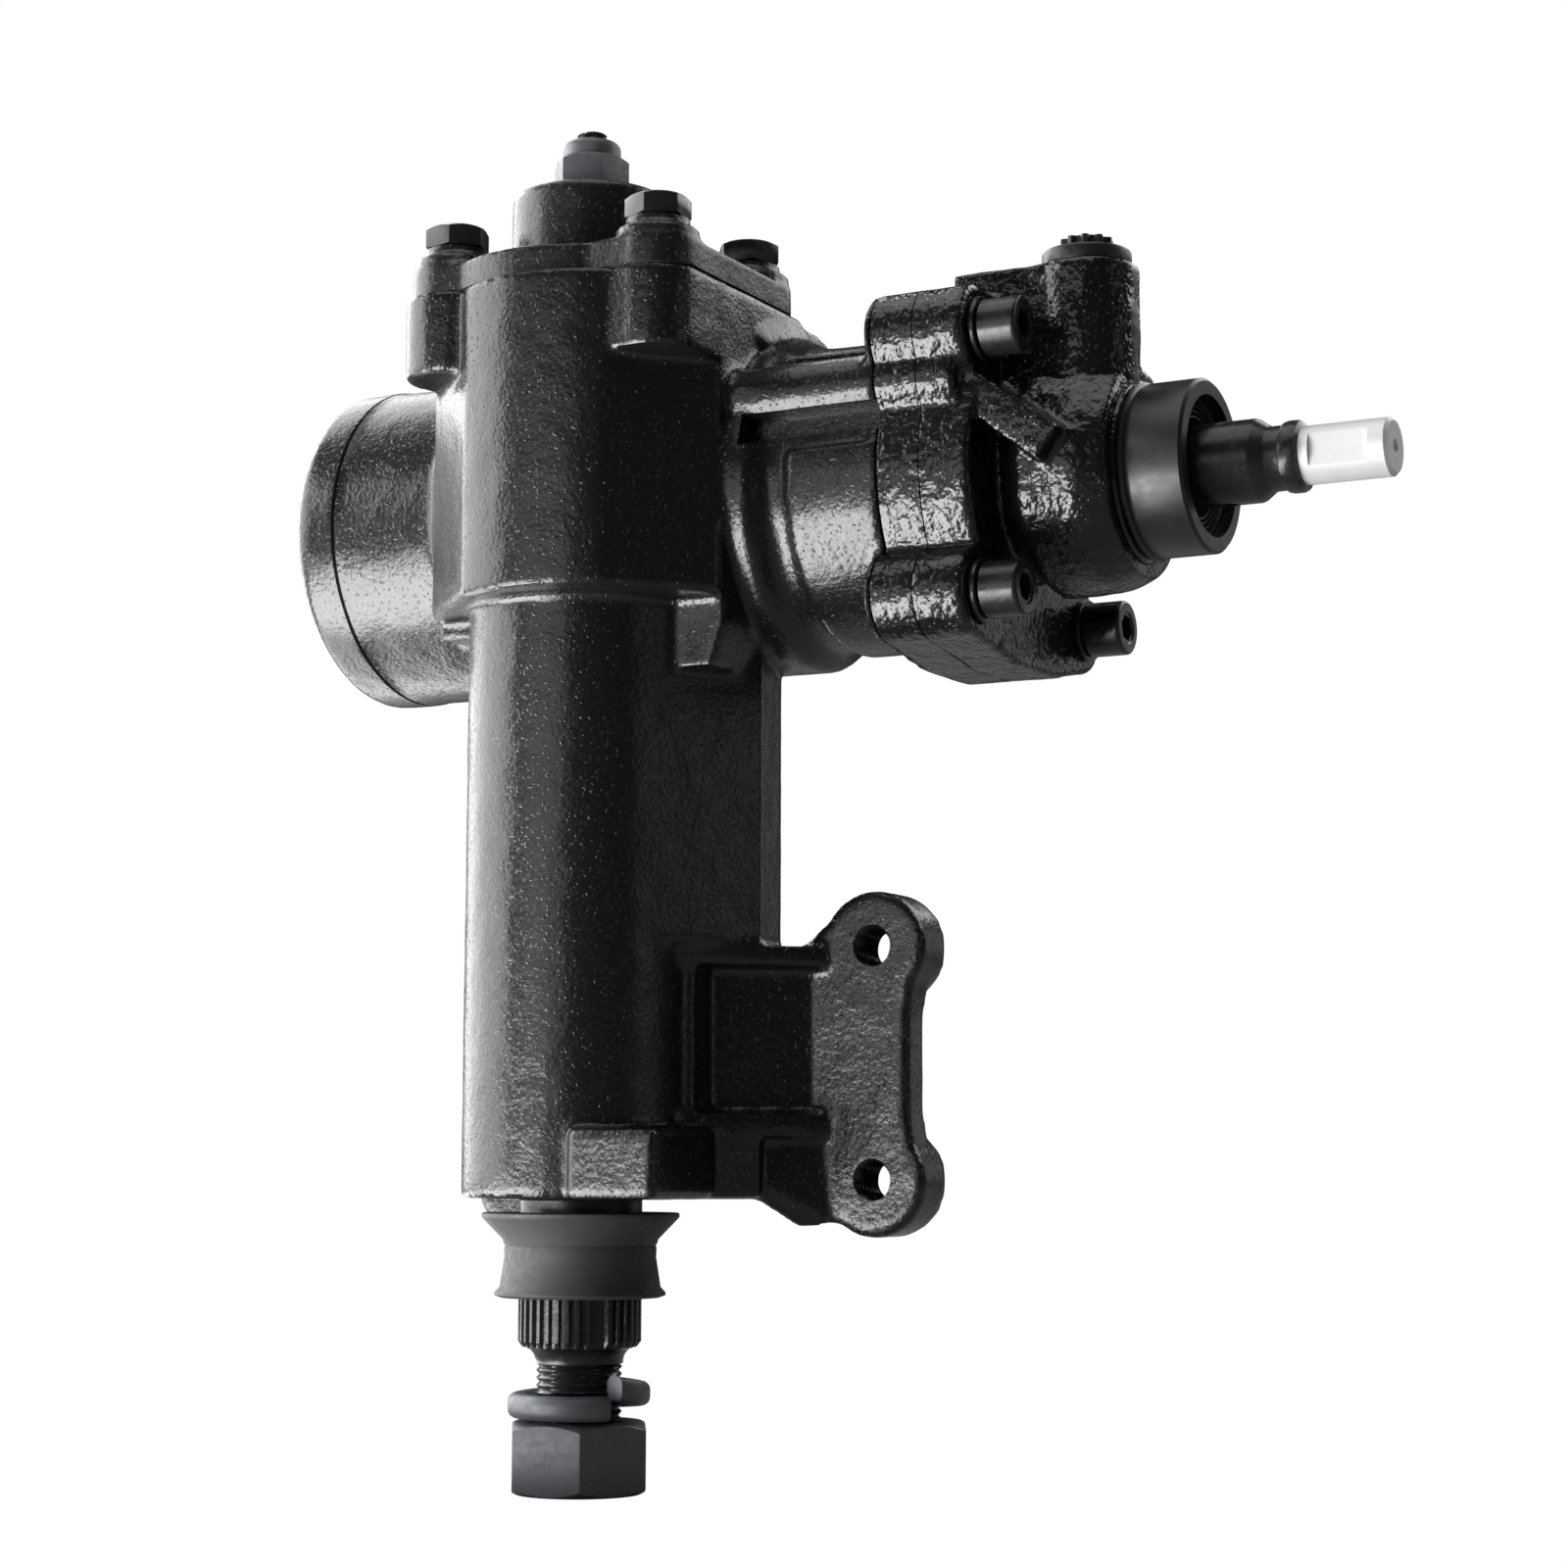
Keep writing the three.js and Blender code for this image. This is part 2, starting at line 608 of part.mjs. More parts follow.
function sectorShaft() {
  const root = SECTOR_PITCH_RADIUS - TOOTH_DEDENDUM;
  const core = turned([
    [0, SHAFT_BOTTOM],
    [THREAD_RADIUS - 1.5, SHAFT_BOTTOM],
    [THREAD_RADIUS, SHAFT_BOTTOM + 1.5],
    [THREAD_RADIUS, THREAD_TOP],
    [11.4, THREAD_TOP + 0.5],
    [11.8, SPLINE_BOTTOM - 1.6],
    [13.6, SPLINE_BOTTOM],
    [SPLINE_ROOT_RADIUS, SPLINE_BOTTOM],
    [SPLINE_ROOT_RADIUS, SPLINE_TOP],
    [SPLINE_RADIUS, SPLINE_TOP + 1],
    [SPLINE_RADIUS, -184.5],
    [SHAFT_JOURNAL_RADIUS, -183],
    [SHAFT_JOURNAL_RADIUS, SHAFT_JOURNAL_TOP],
    [SHAFT_NECK_RADIUS, SHAFT_JOURNAL_TOP],
    [SHAFT_NECK_RADIUS, -GEAR_HALF_HEIGHT],
    [root, -GEAR_HALF_HEIGHT],
    [root, GEAR_HALF_HEIGHT],
    [SHAFT_TOP_RADIUS, GEAR_HALF_HEIGHT + 1],
    [SHAFT_TOP_RADIUS, SHAFT_TOP],
    [0, SHAFT_TOP],
  ], "z", ON_SECTOR, FINE);
  const pitch = 360 / SECTOR_FULL_TEETH;
  const teeth = [-1, 0, 1].map((number) => sectorTooth(90 + number * pitch));
  const slotFloor = block(-6.8, 20, -6.8, 6.8, 57.5, 62.4);
  const slotNeck = block(-4.7, 20, -4.7, 4.7, 62, SHAFT_TOP + 1);
  return cut(joined(core, ...teeth, armSplines()), slotFloor, slotNeck);
}

function dustBoot() {
  const inner = SPLINE_RADIUS + GAP;
  return turned([
    [inner, -187.6],
    [25.6, -187.6],
    [25.6, -189],
    [19.6, -195.4],
    [19.6, -199],
    [20.8, -206.6],
    [22.2, -208.4],
    [20.6, -209.3],
    [inner, -209.3],
    [inner, -187.6],
  ], "z", ON_SECTOR, FINE);
}

// A coil washer with one turn, whose first end springs up where it is cut.
class WasherTurn extends THREE.Curve {
  getPoint(t, target = new THREE.Vector3()) {
    const angle = THREE.MathUtils.degToRad(-22 + 350 * t);
    const level = -236.8 + 5 * (1 - t) ** 3;
    return target.set(15.2 * Math.cos(angle), 15.2 * Math.sin(angle), level);
  }
}

function pitmanNut() {
  const flats = swept(hexagon(ON_SECTOR, 34, -87.3), "z", -259, -240.7);
  const chamfer = turned([
    [0, -259],
    [16.6, -259],
    [20.5, -256.7],
    [20.5, -242.9],
    [16.6, -240.7],
    [0, -240.7],
  ], "z", ON_SECTOR);
  return cut(flats.intersect(chamfer), rod(THREAD_RADIUS + GAP, "z", ON_SECTOR, -260, -238));
}

// ------------------------------------------------------------------- piston and worm

class BallPath extends THREE.Curve {
  constructor(from, to) {
    super();
    this.from = from;
    this.to = to;
  }

  getPoint(t, target = new THREE.Vector3()) {
    const x = this.from + (this.to - this.from) * t;
    const angle = 2 * Math.PI * x / BALL_LEAD;
    return target.set(
      x,
      WORM_Y + BALL_PITCH_RADIUS * Math.cos(angle),
      BALL_PITCH_RADIUS * Math.sin(angle),
    );
  }
}

const STEPS_PER_TURN = 10;
const CIRCUIT_X = [3, 3 + 1.5 * BALL_LEAD];
const WORM_GROOVE_X = [-11, 27];   // the circuit's reach through the piston's whole travel
const PISTON_X = [-60, 62];
const PISTON_RING_X = [-52, -48];

function ballPathSolid(from, to, radius, sides) {
  const steps = Math.ceil((to - from) / BALL_LEAD * STEPS_PER_TURN);
  return alongPath(new BallPath(from, to), radius, sides, steps);
}

// Space between two rack teeth: wider at the tips, as the teeth lean by the pressure angle.
function rackSpace(number) {
  const middle = number * TOOTH_PITCH;
  const lean = Math.tan(PRESSURE_ANGLE);
  const half = TOOTH_PITCH / 4 + BACKLASH / 4;
  const floor = RACK_PITCH_LINE + TOOTH_DEDENDUM;
  const open = RACK_PITCH_LINE - TOOTH_ADDENDUM - 1;
  return swept(polygon([
    [middle - half - lean * (TOOTH_ADDENDUM + 1), open],
    [middle + half + lean * (TOOTH_ADDENDUM + 1), open],
    [middle + half - lean * TOOTH_DEDENDUM, floor],
    [middle - half + lean * TOOTH_DEDENDUM, floor],
  ]), "z", -BORE_RADIUS, BORE_RADIUS);
}

function rackPiston() {
  const body = cut(
    rod(BORE_RADIUS - GAP, "x", ON_WORM, ...PISTON_X, FINE),
    ring(31.9, BORE_RADIUS + 1, "x", ON_WORM, ...PISTON_RING_X, FINE),
    rod(NUT_BORE_RADIUS, "x", ON_WORM, -42, PISTON_X[1] + 1),
    ballPathSolid(CIRCUIT_X[0] - 1, CIRCUIT_X[1] + 1, BALL_GROOVE_RADIUS, 6),
  );
  const outerFloor = RACK_PITCH_LINE + TOOTH_DEDENDUM;
  const outerHalf = 1.5 * TOOTH_PITCH + TOOTH_PITCH / 4;
  return cut(
    body,
    block(-RACK_HALF_LENGTH, RACK_HALF_LENGTH, -2, RACK_PITCH_LINE - TOOTH_ADDENDUM, -36, 36),
    block(-RACK_HALF_LENGTH, -outerHalf, -2, outerFloor, -36, 36),
    block(outerHalf, RACK_HALF_LENGTH, -2, outerFloor, -36, 36),
    ...[-1, 0, 1].map(rackSpace),
    block(-6, 26, WORM_Y + 20, WORM_Y + 40, -9, 9),
  );
}

// The return tube lifts the balls out of the last turn and brings them back to the first.
function ballReturnGuide() {
  const [start, end] = [-1, 21];
  const level = WORM_Y + 26;
  const path = new THREE.CatmullRomCurve3([
    new THREE.Vector3(start, WORM_Y + 21, 0),
    new THREE.Vector3(start + 1, level - 1, 0),
    new THREE.Vector3(start + 6, level, 0),
    new THREE.Vector3(end - 6, level, 0),
    new THREE.Vector3(end - 1, level - 1, 0),
    new THREE.Vector3(end, WORM_Y + 21, 0),
  ]);
  return alongPath(path, 3.2, 10, 16);
}

const WORM_HEAD_X = [102.8, 107];
const TORSION_BAR_RADIUS = 2.6;
const SLEEVE_X = [WORM_HEAD_X[1] + GAP, 136];
const SLEEVE_RADIUS = VALVE_BORE_RADIUS - TURNING_GAP;
const SLEEVE_RINGS = [112, 119.5, 127, 133];
const RING_WIDTH = 1.6;

function worm() {
  const core = turned([
    [0, -24],
    [WORM_RADIUS - 1, -24],
    [WORM_RADIUS, -23],
    [WORM_RADIUS, 90],
    [9.4, 91],
    [9.4, WORM_HEAD_X[0]],
    [16, WORM_HEAD_X[0]],
    [16, WORM_HEAD_X[1]],
    [0, WORM_HEAD_X[1]],
  ], "x", ON_WORM);
  return cut(
    core,
    ballPathSolid(...WORM_GROOVE_X, BALL_GROOVE_RADIUS, 6),
    rod(TORSION_BAR_RADIUS + GAP, "x", ON_WORM, 94, 108, COARSE),
  );
}

function valveSleeve() {
  const grooves = SLEEVE_RINGS.map((x) =>
    ring(19.4, SLEEVE_RADIUS + 1, "x", ON_WORM, x - GAP, x + RING_WIDTH + GAP));
  return cut(ring(INPUT_RADIUS + TURNING_GAP, SLEEVE_RADIUS, "x", ON_WORM, ...SLEEVE_X), ...grooves);
}

// ------------------------------------------------------------- input shaft and valve

function inputShaft() {
  const body = turned([
    [0, SLEEVE_X[0] + 0.2],
    [INPUT_RADIUS, SLEEVE_X[0] + 0.2],
    [INPUT_RADIUS, 175.2],
    [8.2, 178.8],
    [8.2, 182.7],
    [8.8, 183],
    [8.8, 187],
    [INPUT_TIP_RADIUS, 187.6],
    [INPUT_TIP_RADIUS, INPUT_END_X - 1],
    [INPUT_TIP_RADIUS - 1, INPUT_END_X],
    [0, INPUT_END_X],
  ], "x", ON_WORM);
  const spoolSlots = [0, 1, 2, 3, 4, 5].map((number) => {
    const angle = number * Math.PI / 3;
    const centre = [WORM_Y + INPUT_RADIUS * Math.cos(angle), INPUT_RADIUS * Math.sin(angle)];
    return rod(1.6, "x", centre, 112, 131, 8);
  });
  return cut(
    body,
    ...spoolSlots,
    rod(TORSION_BAR_RADIUS + GAP, "x", ON_WORM, 105, 178.5, COARSE),
    pinHole(),
    block(190, 205.3, WORM_Y - 9, WORM_Y - 6.2, -9, 9),
  );
}

// A cross pin fixes the torsion bar to the input shaft.
const PIN_PLACE = [168, WORM_Y];
const PIN_RADIUS = 1.4;

function pinHole() {
  return rod(PIN_RADIUS + GAP + 0.1, "z", PIN_PLACE, -20, 20, COARSE);
}

function torsionBar() {
  const bar = rod(TORSION_BAR_RADIUS, "x", ON_WORM, 94.5, 178, COARSE);
  return cut(bar, pinHole());
}

function adapterPlate() {
  const slab = flangeSlab(HOUSING_FACE_X + GAP, ADAPTER_FACE_X, CYLINDER_RIGHT_RADIUS);
  const spigotStart = HOUSING_FACE_X - 4.9;
  const spigot = rod(BORE_RADIUS - GAP, "x", ON_WORM, spigotStart, HOUSING_FACE_X + 1, FINE);
  const holes = FLANGE_SCREWS.map((screw) =>
    rod(4.3, "x", screw, HOUSING_FACE_X - 1, ADAPTER_FACE_X + 1, COARSE));
  return cut(
    joined(slab, spigot, oilPassage(HOUSING_FACE_X + GAP, ADAPTER_FACE_X)),
    rod(13.5, "x", ON_WORM, spigotStart - 1, ADAPTER_FACE_X + 1),
    ...holes,
  );
}

function valveHousing() {
  const start = ADAPTER_FACE_X + GAP;
  const barrel = turned([
    [0, start],
    [25, start],
    [25, 116],
    [30.5, 122],
    [30, 137],
    [27, VALVE_BODY_END_X],
    [21, VALVE_BODY_END_X + 1],
    [21, COLLAR_START_X],
    [COLLAR_RADIUS, COLLAR_START_X + 0.5],
    [COLLAR_RADIUS, COLLAR_END_X - 1],
    [COLLAR_RADIUS - 1, COLLAR_END_X],
    [0, COLLAR_END_X],
  ], "x", ON_WORM, FINE);
  const flange = flangeSlab(start, VALVE_FLANGE_X, CYLINDER_RIGHT_RADIUS);
  const crown = block(start, CROWN_END_X, 15, 56, 0, PORT_TOP - 0.5);
  const ports = PORT_PLACES.map((port) => rod(PORT_BOSS_RADIUS, "z", port, 5, PORT_TOP));
  const bar = swept(polygon([[102, 31], [136, 6], [130, -2], [102, 20]]), "y", -2, 22);
  const body = joined(barrel, flange, crown, ...ports, bar, oilPassage(start, 110));
  const holes = FLANGE_SCREWS.map((screw) => rod(4.3, "x", screw, start - 1, 114, COARSE));
  const screwHeads = FLANGE_SCREWS.map((screw) => rod(9, "x", screw, VALVE_FLANGE_X, 145));
  const portWells = PORT_PLACES.map((port) => rod(7, "z", port, 38, PORT_TOP + 1, COARSE));
  return cut(
    body,
    rod(VALVE_BORE_RADIUS, "x", ON_WORM, start - 1, 139.5, FINE),
    rod(COLLAR_BORE_RADIUS, "x", ON_WORM, 139, COLLAR_END_X + 1, FINE),
    ...holes,
    ...screwHeads,
    ...portWells,
  );
}

const WASHER_THICKNESS = 1.5;

function capScrew(centre) {
  const start = VALVE_FLANGE_X + WASHER_THICKNESS + 2 * GAP;
  const body = joined(
    turned([
      [0, start],
      [7.25, start],
      [7.25, start + 9.6],
      [6.6, start + 10.4],
      [0, start + 10.4],
    ], "x", centre),
    rod(4, "x", centre, HOUSING_FACE_X - 2, start + 1, COARSE),
  );
  const socket = swept(hexagon(centre, 6.4, 20), "x", start + 4, start + 12);
  return cut(body, socket);
}

function portCap([x, y]) {
  const teeth = 10;
  const star = [];
  for (let i = 0; i < teeth; i += 1) {
    const aim = i * 360 / teeth;
    star.push(...arcPoints([x, y], 6.8, aim - 7, aim + 7, 1));
    star.push(...arcPoints([x, y], 5.6, aim + 16, aim + 20, 1));
  }
  const flange = rod(11.5, "z", [x, y], PORT_TOP + GAP, PORT_TOP + 4.5);
  const grip = swept(polygon(star), "z", PORT_TOP + 4, PORT_TOP + 7.9);
  const stem = rod(6.6, "z", [x, y], 42, PORT_TOP + 1, COARSE);
  return joined(flange, grip, stem);
}

// ------------------------------------------------------------------------ put together

place("housing", housing(), "black_paint");
place("side_cover", sideCover(), "black_paint");
place("cover_gasket", coverGasket(), "gasket");
COVER_BOLTS.forEach((bolt, i) => {
  const head = [COVER_SPOT_FACE + GAP, COVER_BOLT_HEAD_TOP];
  const body = hexBolt(bolt, -41 - 14 * i, COVER_BOLT_ACROSS_FLATS, ...head, 5, 35);
  place(`cover_bolt_${i + 1}`, body, "black_bolt");
});
place("adjuster_screw", adjusterScrew(), "black_bolt");
place("adjuster_lock_nut", lockNut(), "phosphate");
place("cover_bush", ring(13.3, 13.9, "z", ON_SECTOR, 46, 64), "bronze");

place("sector_shaft", sectorShaft(), "steel");
const JOURNAL_RINGS = [
  ["upper_sector_bearing", -62, -34, "steel"],
  ["lower_sector_bearing", -160, -132, "steel"],
  ["sector_seal", -171, -163, "rubber"],
  ["sector_seal_washer", -173.5, -171.5, "steel"],
  ["sector_seal_outer", -180, -174, "rubber"],
];
JOURNAL_RINGS.forEach(([name, from, to, finish]) => {
  const inner = SHAFT_JOURNAL_RADIUS + TURNING_GAP;
  place(name, ring(inner, JOURNAL_BORE_RADIUS - GAP, "z", ON_SECTOR, from, to), finish);
});
place("dust_boot", dustBoot(), "rubber");
place("pitman_lock_washer", alongPath(new WasherTurn(), 3.3, 7, 20), "phosphate");
place("pitman_nut", pitmanNut(), "phosphate");

const plugBody = cut(
  rod(PLUG_RADIUS - GAP, "x", ON_WORM, -84, PLUG_SEAT_X - GAP, FINE),
  ring(34.9, 39, "x", ON_WORM, -82.7, -79.9, FINE),
  block(-85, -81, WORM_Y - 6.5, WORM_Y + 6.5, -6.5, 6.5),
);
place("end_plug", plugBody, "black_bolt");
place("end_plug_o_ring", ring(35.2, 37.2, "x", ON_WORM, -82.4, -80.2, FINE), "rubber");
const snapRing = cut(
  ring(34.5, 39, "x", ON_WORM, -86.2, -84.6, FINE),
  block(-88, -84, WORM_Y - 8, WORM_Y + 8, -41, -30),
);
place("end_plug_snap_ring", snapRing, "steel");

place("rack_piston", rackPiston(), "cast_iron");
const pistonRing = ring(32.2, 34.7, "x", ON_WORM, PISTON_RING_X[0] + GAP, PISTON_RING_X[1] - GAP, FINE);
place("piston_ring", pistonRing, "plastic");
place("ball_circuit", ballPathSolid(...CIRCUIT_X, BALL_RADIUS, 6), "steel");
place("ball_return_guide", ballReturnGuide(), "steel");
place("worm", worm(), "steel");
place("worm_bearing", ring(10, 13.2, "x", ON_WORM, 92.5, 99.8), "steel");
place("inner_thrust_bearing", ring(10.4, 16, "x", ON_WORM, 100.4, 102.5), "steel");
place("outer_thrust_bearing", ring(12, 21, "x", ON_WORM, 136.4, 139.1), "steel");
place("valve_sleeve", valveSleeve(), "steel");
SLEEVE_RINGS.forEach((x, i) => {
  const seal = ring(19.7, SLEEVE_RADIUS, "x", ON_WORM, x, x + RING_WIDTH);
  place(`valve_sleeve_ring_${i + 1}`, seal, "plastic");
});
place("input_shaft", inputShaft(), "steel");
place("torsion_bar", torsionBar(), "steel");
place("torsion_bar_pin", rod(PIN_RADIUS, "z", PIN_PLACE, -10, 10, COARSE), "steel");
place("adapter_plate", adapterPlate(), "black_paint");
place("valve_housing", valveHousing(), "black_paint");
FLANGE_SCREWS.forEach((screw, i) => {
  const washerStart = VALVE_FLANGE_X + GAP;
  const washer = ring(4.3, 8.2, "x", screw, washerStart, washerStart + WASHER_THICKNESS);
  place(`valve_washer_${i + 1}`, washer, "black_bolt");
  place(`valve_screw_${i + 1}`, capScrew(screw), "black_bolt");
});
place("pressure_port_cap", portCap(PORT_PLACES[0]), "plastic");
place("return_port_cap", portCap(PORT_PLACES[1]), "plastic");
place("input_bearing", ring(INPUT_RADIUS + TURNING_GAP, 17.8, "x", ON_WORM, 139.9, 149.5), "steel");
place("input_seal", ring(INPUT_RADIUS + TURNING_GAP, 17.8, "x", ON_WORM, 149.9, 157.5), "rubber");
place("input_seal_ring", ring(14.5, 17.8, "x", ON_WORM, 157.9, 159.3), "black_bolt");

export default assembly;
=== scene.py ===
"""Looks of the power steering gear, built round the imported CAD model.

Sizes are millimetres from the sector shaft's axis at the worm's level, as in the CAD source:
+X runs along the worm towards the input shaft, +Y towards the chassis rail, +Z up.
"""

import math

import bmesh
import bpy
from mathutils import Matrix, Vector


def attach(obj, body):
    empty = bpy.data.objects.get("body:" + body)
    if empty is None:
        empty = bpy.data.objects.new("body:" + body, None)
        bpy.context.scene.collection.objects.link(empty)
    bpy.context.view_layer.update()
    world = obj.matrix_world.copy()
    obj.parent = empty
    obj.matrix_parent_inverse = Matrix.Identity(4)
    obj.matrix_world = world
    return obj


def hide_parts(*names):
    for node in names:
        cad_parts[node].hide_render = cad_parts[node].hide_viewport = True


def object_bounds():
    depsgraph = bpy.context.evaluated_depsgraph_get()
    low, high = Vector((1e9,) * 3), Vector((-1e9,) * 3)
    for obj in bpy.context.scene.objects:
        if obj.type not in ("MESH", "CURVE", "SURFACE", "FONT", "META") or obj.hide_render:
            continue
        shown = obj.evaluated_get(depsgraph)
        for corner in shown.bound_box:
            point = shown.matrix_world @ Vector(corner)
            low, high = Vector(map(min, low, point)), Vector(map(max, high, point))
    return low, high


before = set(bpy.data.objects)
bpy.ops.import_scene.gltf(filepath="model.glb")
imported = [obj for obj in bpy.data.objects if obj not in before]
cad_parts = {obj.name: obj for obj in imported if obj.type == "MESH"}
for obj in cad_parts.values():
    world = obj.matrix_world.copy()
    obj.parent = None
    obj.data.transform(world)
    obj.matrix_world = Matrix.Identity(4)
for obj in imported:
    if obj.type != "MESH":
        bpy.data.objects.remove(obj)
CAD_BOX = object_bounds()

# ---------------------------------------------------------------- driving dimensions

MM = 0.001
SECTOR_PLACE = Vector((-17.5, -41.5, 149.2))  # the sector axis in the row frame

WORM_Y = 35
ON_SECTOR = (0, 0)  # the sector axis, as the centre of a drawing swept along Z
ON_WORM = (WORM_Y, 0)  # the worm axis, as the centre of a drawing swept along X

CYLINDER_LEFT = -89.5
CYLINDER_RADIUS = 44.5
CYLINDER_NECK_RADIUS = 39
CYLINDER_RIGHT_RADIUS = 41
GROOVE_X, GROOVE_HALF_WIDTH = -76.4, 1.4  # the groove round the cylinder's closed end
GROOVE_BOTTOM_RADIUS = 43.8
BORE_RADIUS = 35
PLUG_SEAT_RADIUS = 37.5
SNAP_GROOVE_RADIUS = 39.3
HOUSING_FACE_X = 88.4
ADAPTER_FACE_X = 100
VALVE_FLANGE_X = 113.7
GAP = 0.3  # left between neighbouring pieces
JOINT_CLOSING = 0.55  # how far the cover and its seat reach over the edge of the gasket

CHAMBER_LEFT, CHAMBER_RIGHT = -43, 46
CHAMBER_TOP, CHAMBER_BOTTOM = 51.7, -30
CHAMBER_BORE_RADIUS = 30
STEM_RADIUS = 31
STEM_BOTTOM = -184
STEM_BORE_RADIUS = 20

GASKET_BOTTOM, GASKET_TOP = 52.3, 52.5
COVER_BOTTOM, COVER_TOP = 53.1, 60
COVER_BOLT_X = (-28, 34)
COVER_BOLT_Y = (-22.4, 26.2)
COVER_EAR_RADIUS = 11.5
COVER_EAR_TOP = 63.5
COVER_SPOT_FACE = 66
COVER_BOSS_RADIUS = 21.1
COVER_BOSS_TOP = 82.8
COVER_BOLT_HEAD_TOP = 72.4
COVER_BOLT_ACROSS_FLATS = 15
COVER_BOLT_RADIUS = 5
COVER_HOLE_RADIUS = COVER_BOLT_RADIUS + GAP
ADJUSTER_TOP = 101
ADJUSTER_HOLE_RADIUS = 4.5
LOCK_NUT_TOP = 98.3
LOCK_NUT_ACROSS_FLATS = 18.2
COVER_BOLTS = [(x, y) for y in COVER_BOLT_Y for x in COVER_BOLT_X]

PAD_FACE_Y = 41.5
BRACKET_FRONT_Y, BRACKET_BACK_Y = 26.5, 37.5
BRACKET_HOLE_X = (-36, 71)
BRACKET_HOLE_Z = (-179.3, -119.1)
BRACKET_HOLE_RADIUS = 5.4
BRACKET_EAR_RADIUS = 14.5
BRACKET_HOLES = [(x, z) for x in BRACKET_HOLE_X for z in BRACKET_HOLE_Z]

FLANGE_REACH = 33.35
FLANGE_EAR_RADIUS = 11.5
SCREW_RADIUS = 4
SCREW_HOLE_RADIUS = SCREW_RADIUS + GAP
FLANGE_SCREWS = [
    (WORM_Y + side * FLANGE_REACH, level * FLANGE_REACH) for side in (-1, 1) for level in (-1, 1)
]
COLLAR_START_X, COLLAR_END_X = 145.7, 162.7
COLLAR_RADIUS = 22.3
COLLAR_BORE_RADIUS = 18.1
VALVE_BORE_RADIUS = 21.8
ADAPTER_BORE_RADIUS = 13.5
PORT_TOP = 52.5
PORT_PLACES = ((132.5, 27), (117, 46))

SHAFT_JOURNAL_RADIUS = 17.4
SPLINE_TOP, SPLINE_BOTTOM = -207, -221.8
SPLINE_RADIUS, SPLINE_ROOT_RADIUS = 15.9, 14.8
SPLINE_COUNT = 36
SHAFT_THREAD_RADIUS, SHAFT_THREAD_PITCH = 11.1, 1.9
SHAFT_BOTTOM = -258.2
INPUT_RADIUS = 10.6
INPUT_TIP_X = 187.3  # where the bright end of the input shaft begins

ROUND = 128  # facets round a large cylinder
FINE = 64  # facets round a bolt or a hole
EDGE_STEPS = 4  # facets across a rounded edge
THREAD_STEPS = 6  # facets along one turn of a thread
RIPPLE_LENGTH = 9  # from crest to crest of the ripples in a sand-cast skin
SHARP_DEGREES = 30  # an edge that bends more than this is broken by eased()

# ------------------------------------------------------------------------ shape tools

# The directions that a drawing's x, its y and its depth take for each axis it is swept along.
SWEEP = {
    "x": (Vector((0, 1, 0)), Vector((0, 0, 1)), Vector((1, 0, 0))),
    "y": (Vector((1, 0, 0)), Vector((0, 0, 1)), Vector((0, 1, 0))),
    "z": (Vector((1, 0, 0)), Vector((0, 1, 0)), Vector((0, 0, 1))),
}


def metres(point):
    """A point in sector millimetres as a point in the row frame."""
    return (Vector(point) + SECTOR_PLACE) * MM


def on_sweep(axis, across, up, along):
    """The point that a drawing's x and y give at a place along its sweep."""
    first, second, third = SWEEP[axis]
    return first * across + second * up + third * along


def arc(centre, radius, start, end, steps):
    """Points along an arc, with the angles in degrees."""
    angles = [math.radians(start + (end - start) * i / steps) for i in range(steps + 1)]
    return [(centre[0] + radius * math.cos(a), centre[1] + radius * math.sin(a)) for a in angles]


def prism(points, axis, start, end):
    """A drawing swept along an axis into a closed solid."""
    count = len(points)
    corners = [on_sweep(axis, x, y, start) for x, y in points]
    corners += [on_sweep(axis, x, y, end) for x, y in points]
    sides = [(i, (i + 1) % count, (i + 1) % count + count, i + count) for i in range(count)]
    return corners, [tuple(range(count)), tuple(range(count, 2 * count)), *sides]


def block(x0, x1, y0, y1, z0, z1):
    """A box between those limits."""
    return prism([(x0, y0), (x1, y0), (x1, y1), (x0, y1)], "z", z0, z1)


def lofted(rings, closed=False):
    """Rings of points joined side by side. One that isn't closed gets a cap at each end."""
    count = len(rings[0])
    corners = [corner for ring_points in rings for corner in ring_points]
    faces = []
    total = len(rings)
    for row in range(total if closed else total - 1):
        here = row * count
        there = (row + 1) % total * count
        for i in range(count):
            j = (i + 1) % count
            faces.append((here + i, here + j, there + j, there + i))
    if not closed:
        faces += [tuple(range(count)), tuple(range((total - 1) * count, total * count))]
    return corners, faces


def shaped(radius_at, axis, centre, places, facets):
    """A solid along an axis whose radius depends on the angle and on the place."""
    rings = []
    for place in places:
        ring_points = []
        for i in range(facets):
            angle = 2 * math.pi * i / facets
            radius = radius_at(angle, place)
            across = centre[0] + radius * math.cos(angle)
            up = centre[1] + radius * math.sin(angle)
            ring_points.append(on_sweep(axis, across, up, place))
        rings.append(ring_points)
    return lofted(rings)


def turned(profile, axis, centre, facets=ROUND):
    """A profile of (radius, place) turned about an axis.

    It closes on itself if it ends where it began.
    """
    closed = profile[0] == profile[-1]
    rows = profile[:-1] if closed else profile
    rings = []
    for radius, place in rows:
        circle = arc(centre, radius, 0, 360 * (facets - 1) / facets, facets - 1)
        rings.append([on_sweep(axis, x, y, place) for x, y in circle])
    return lofted(rings, closed)


def rod(radius, axis, centre, start, end, facets=ROUND):
    """A plain cylinder, or the hole that takes one."""
    return turned([(radius, start), (radius, end)], axis, centre, facets)


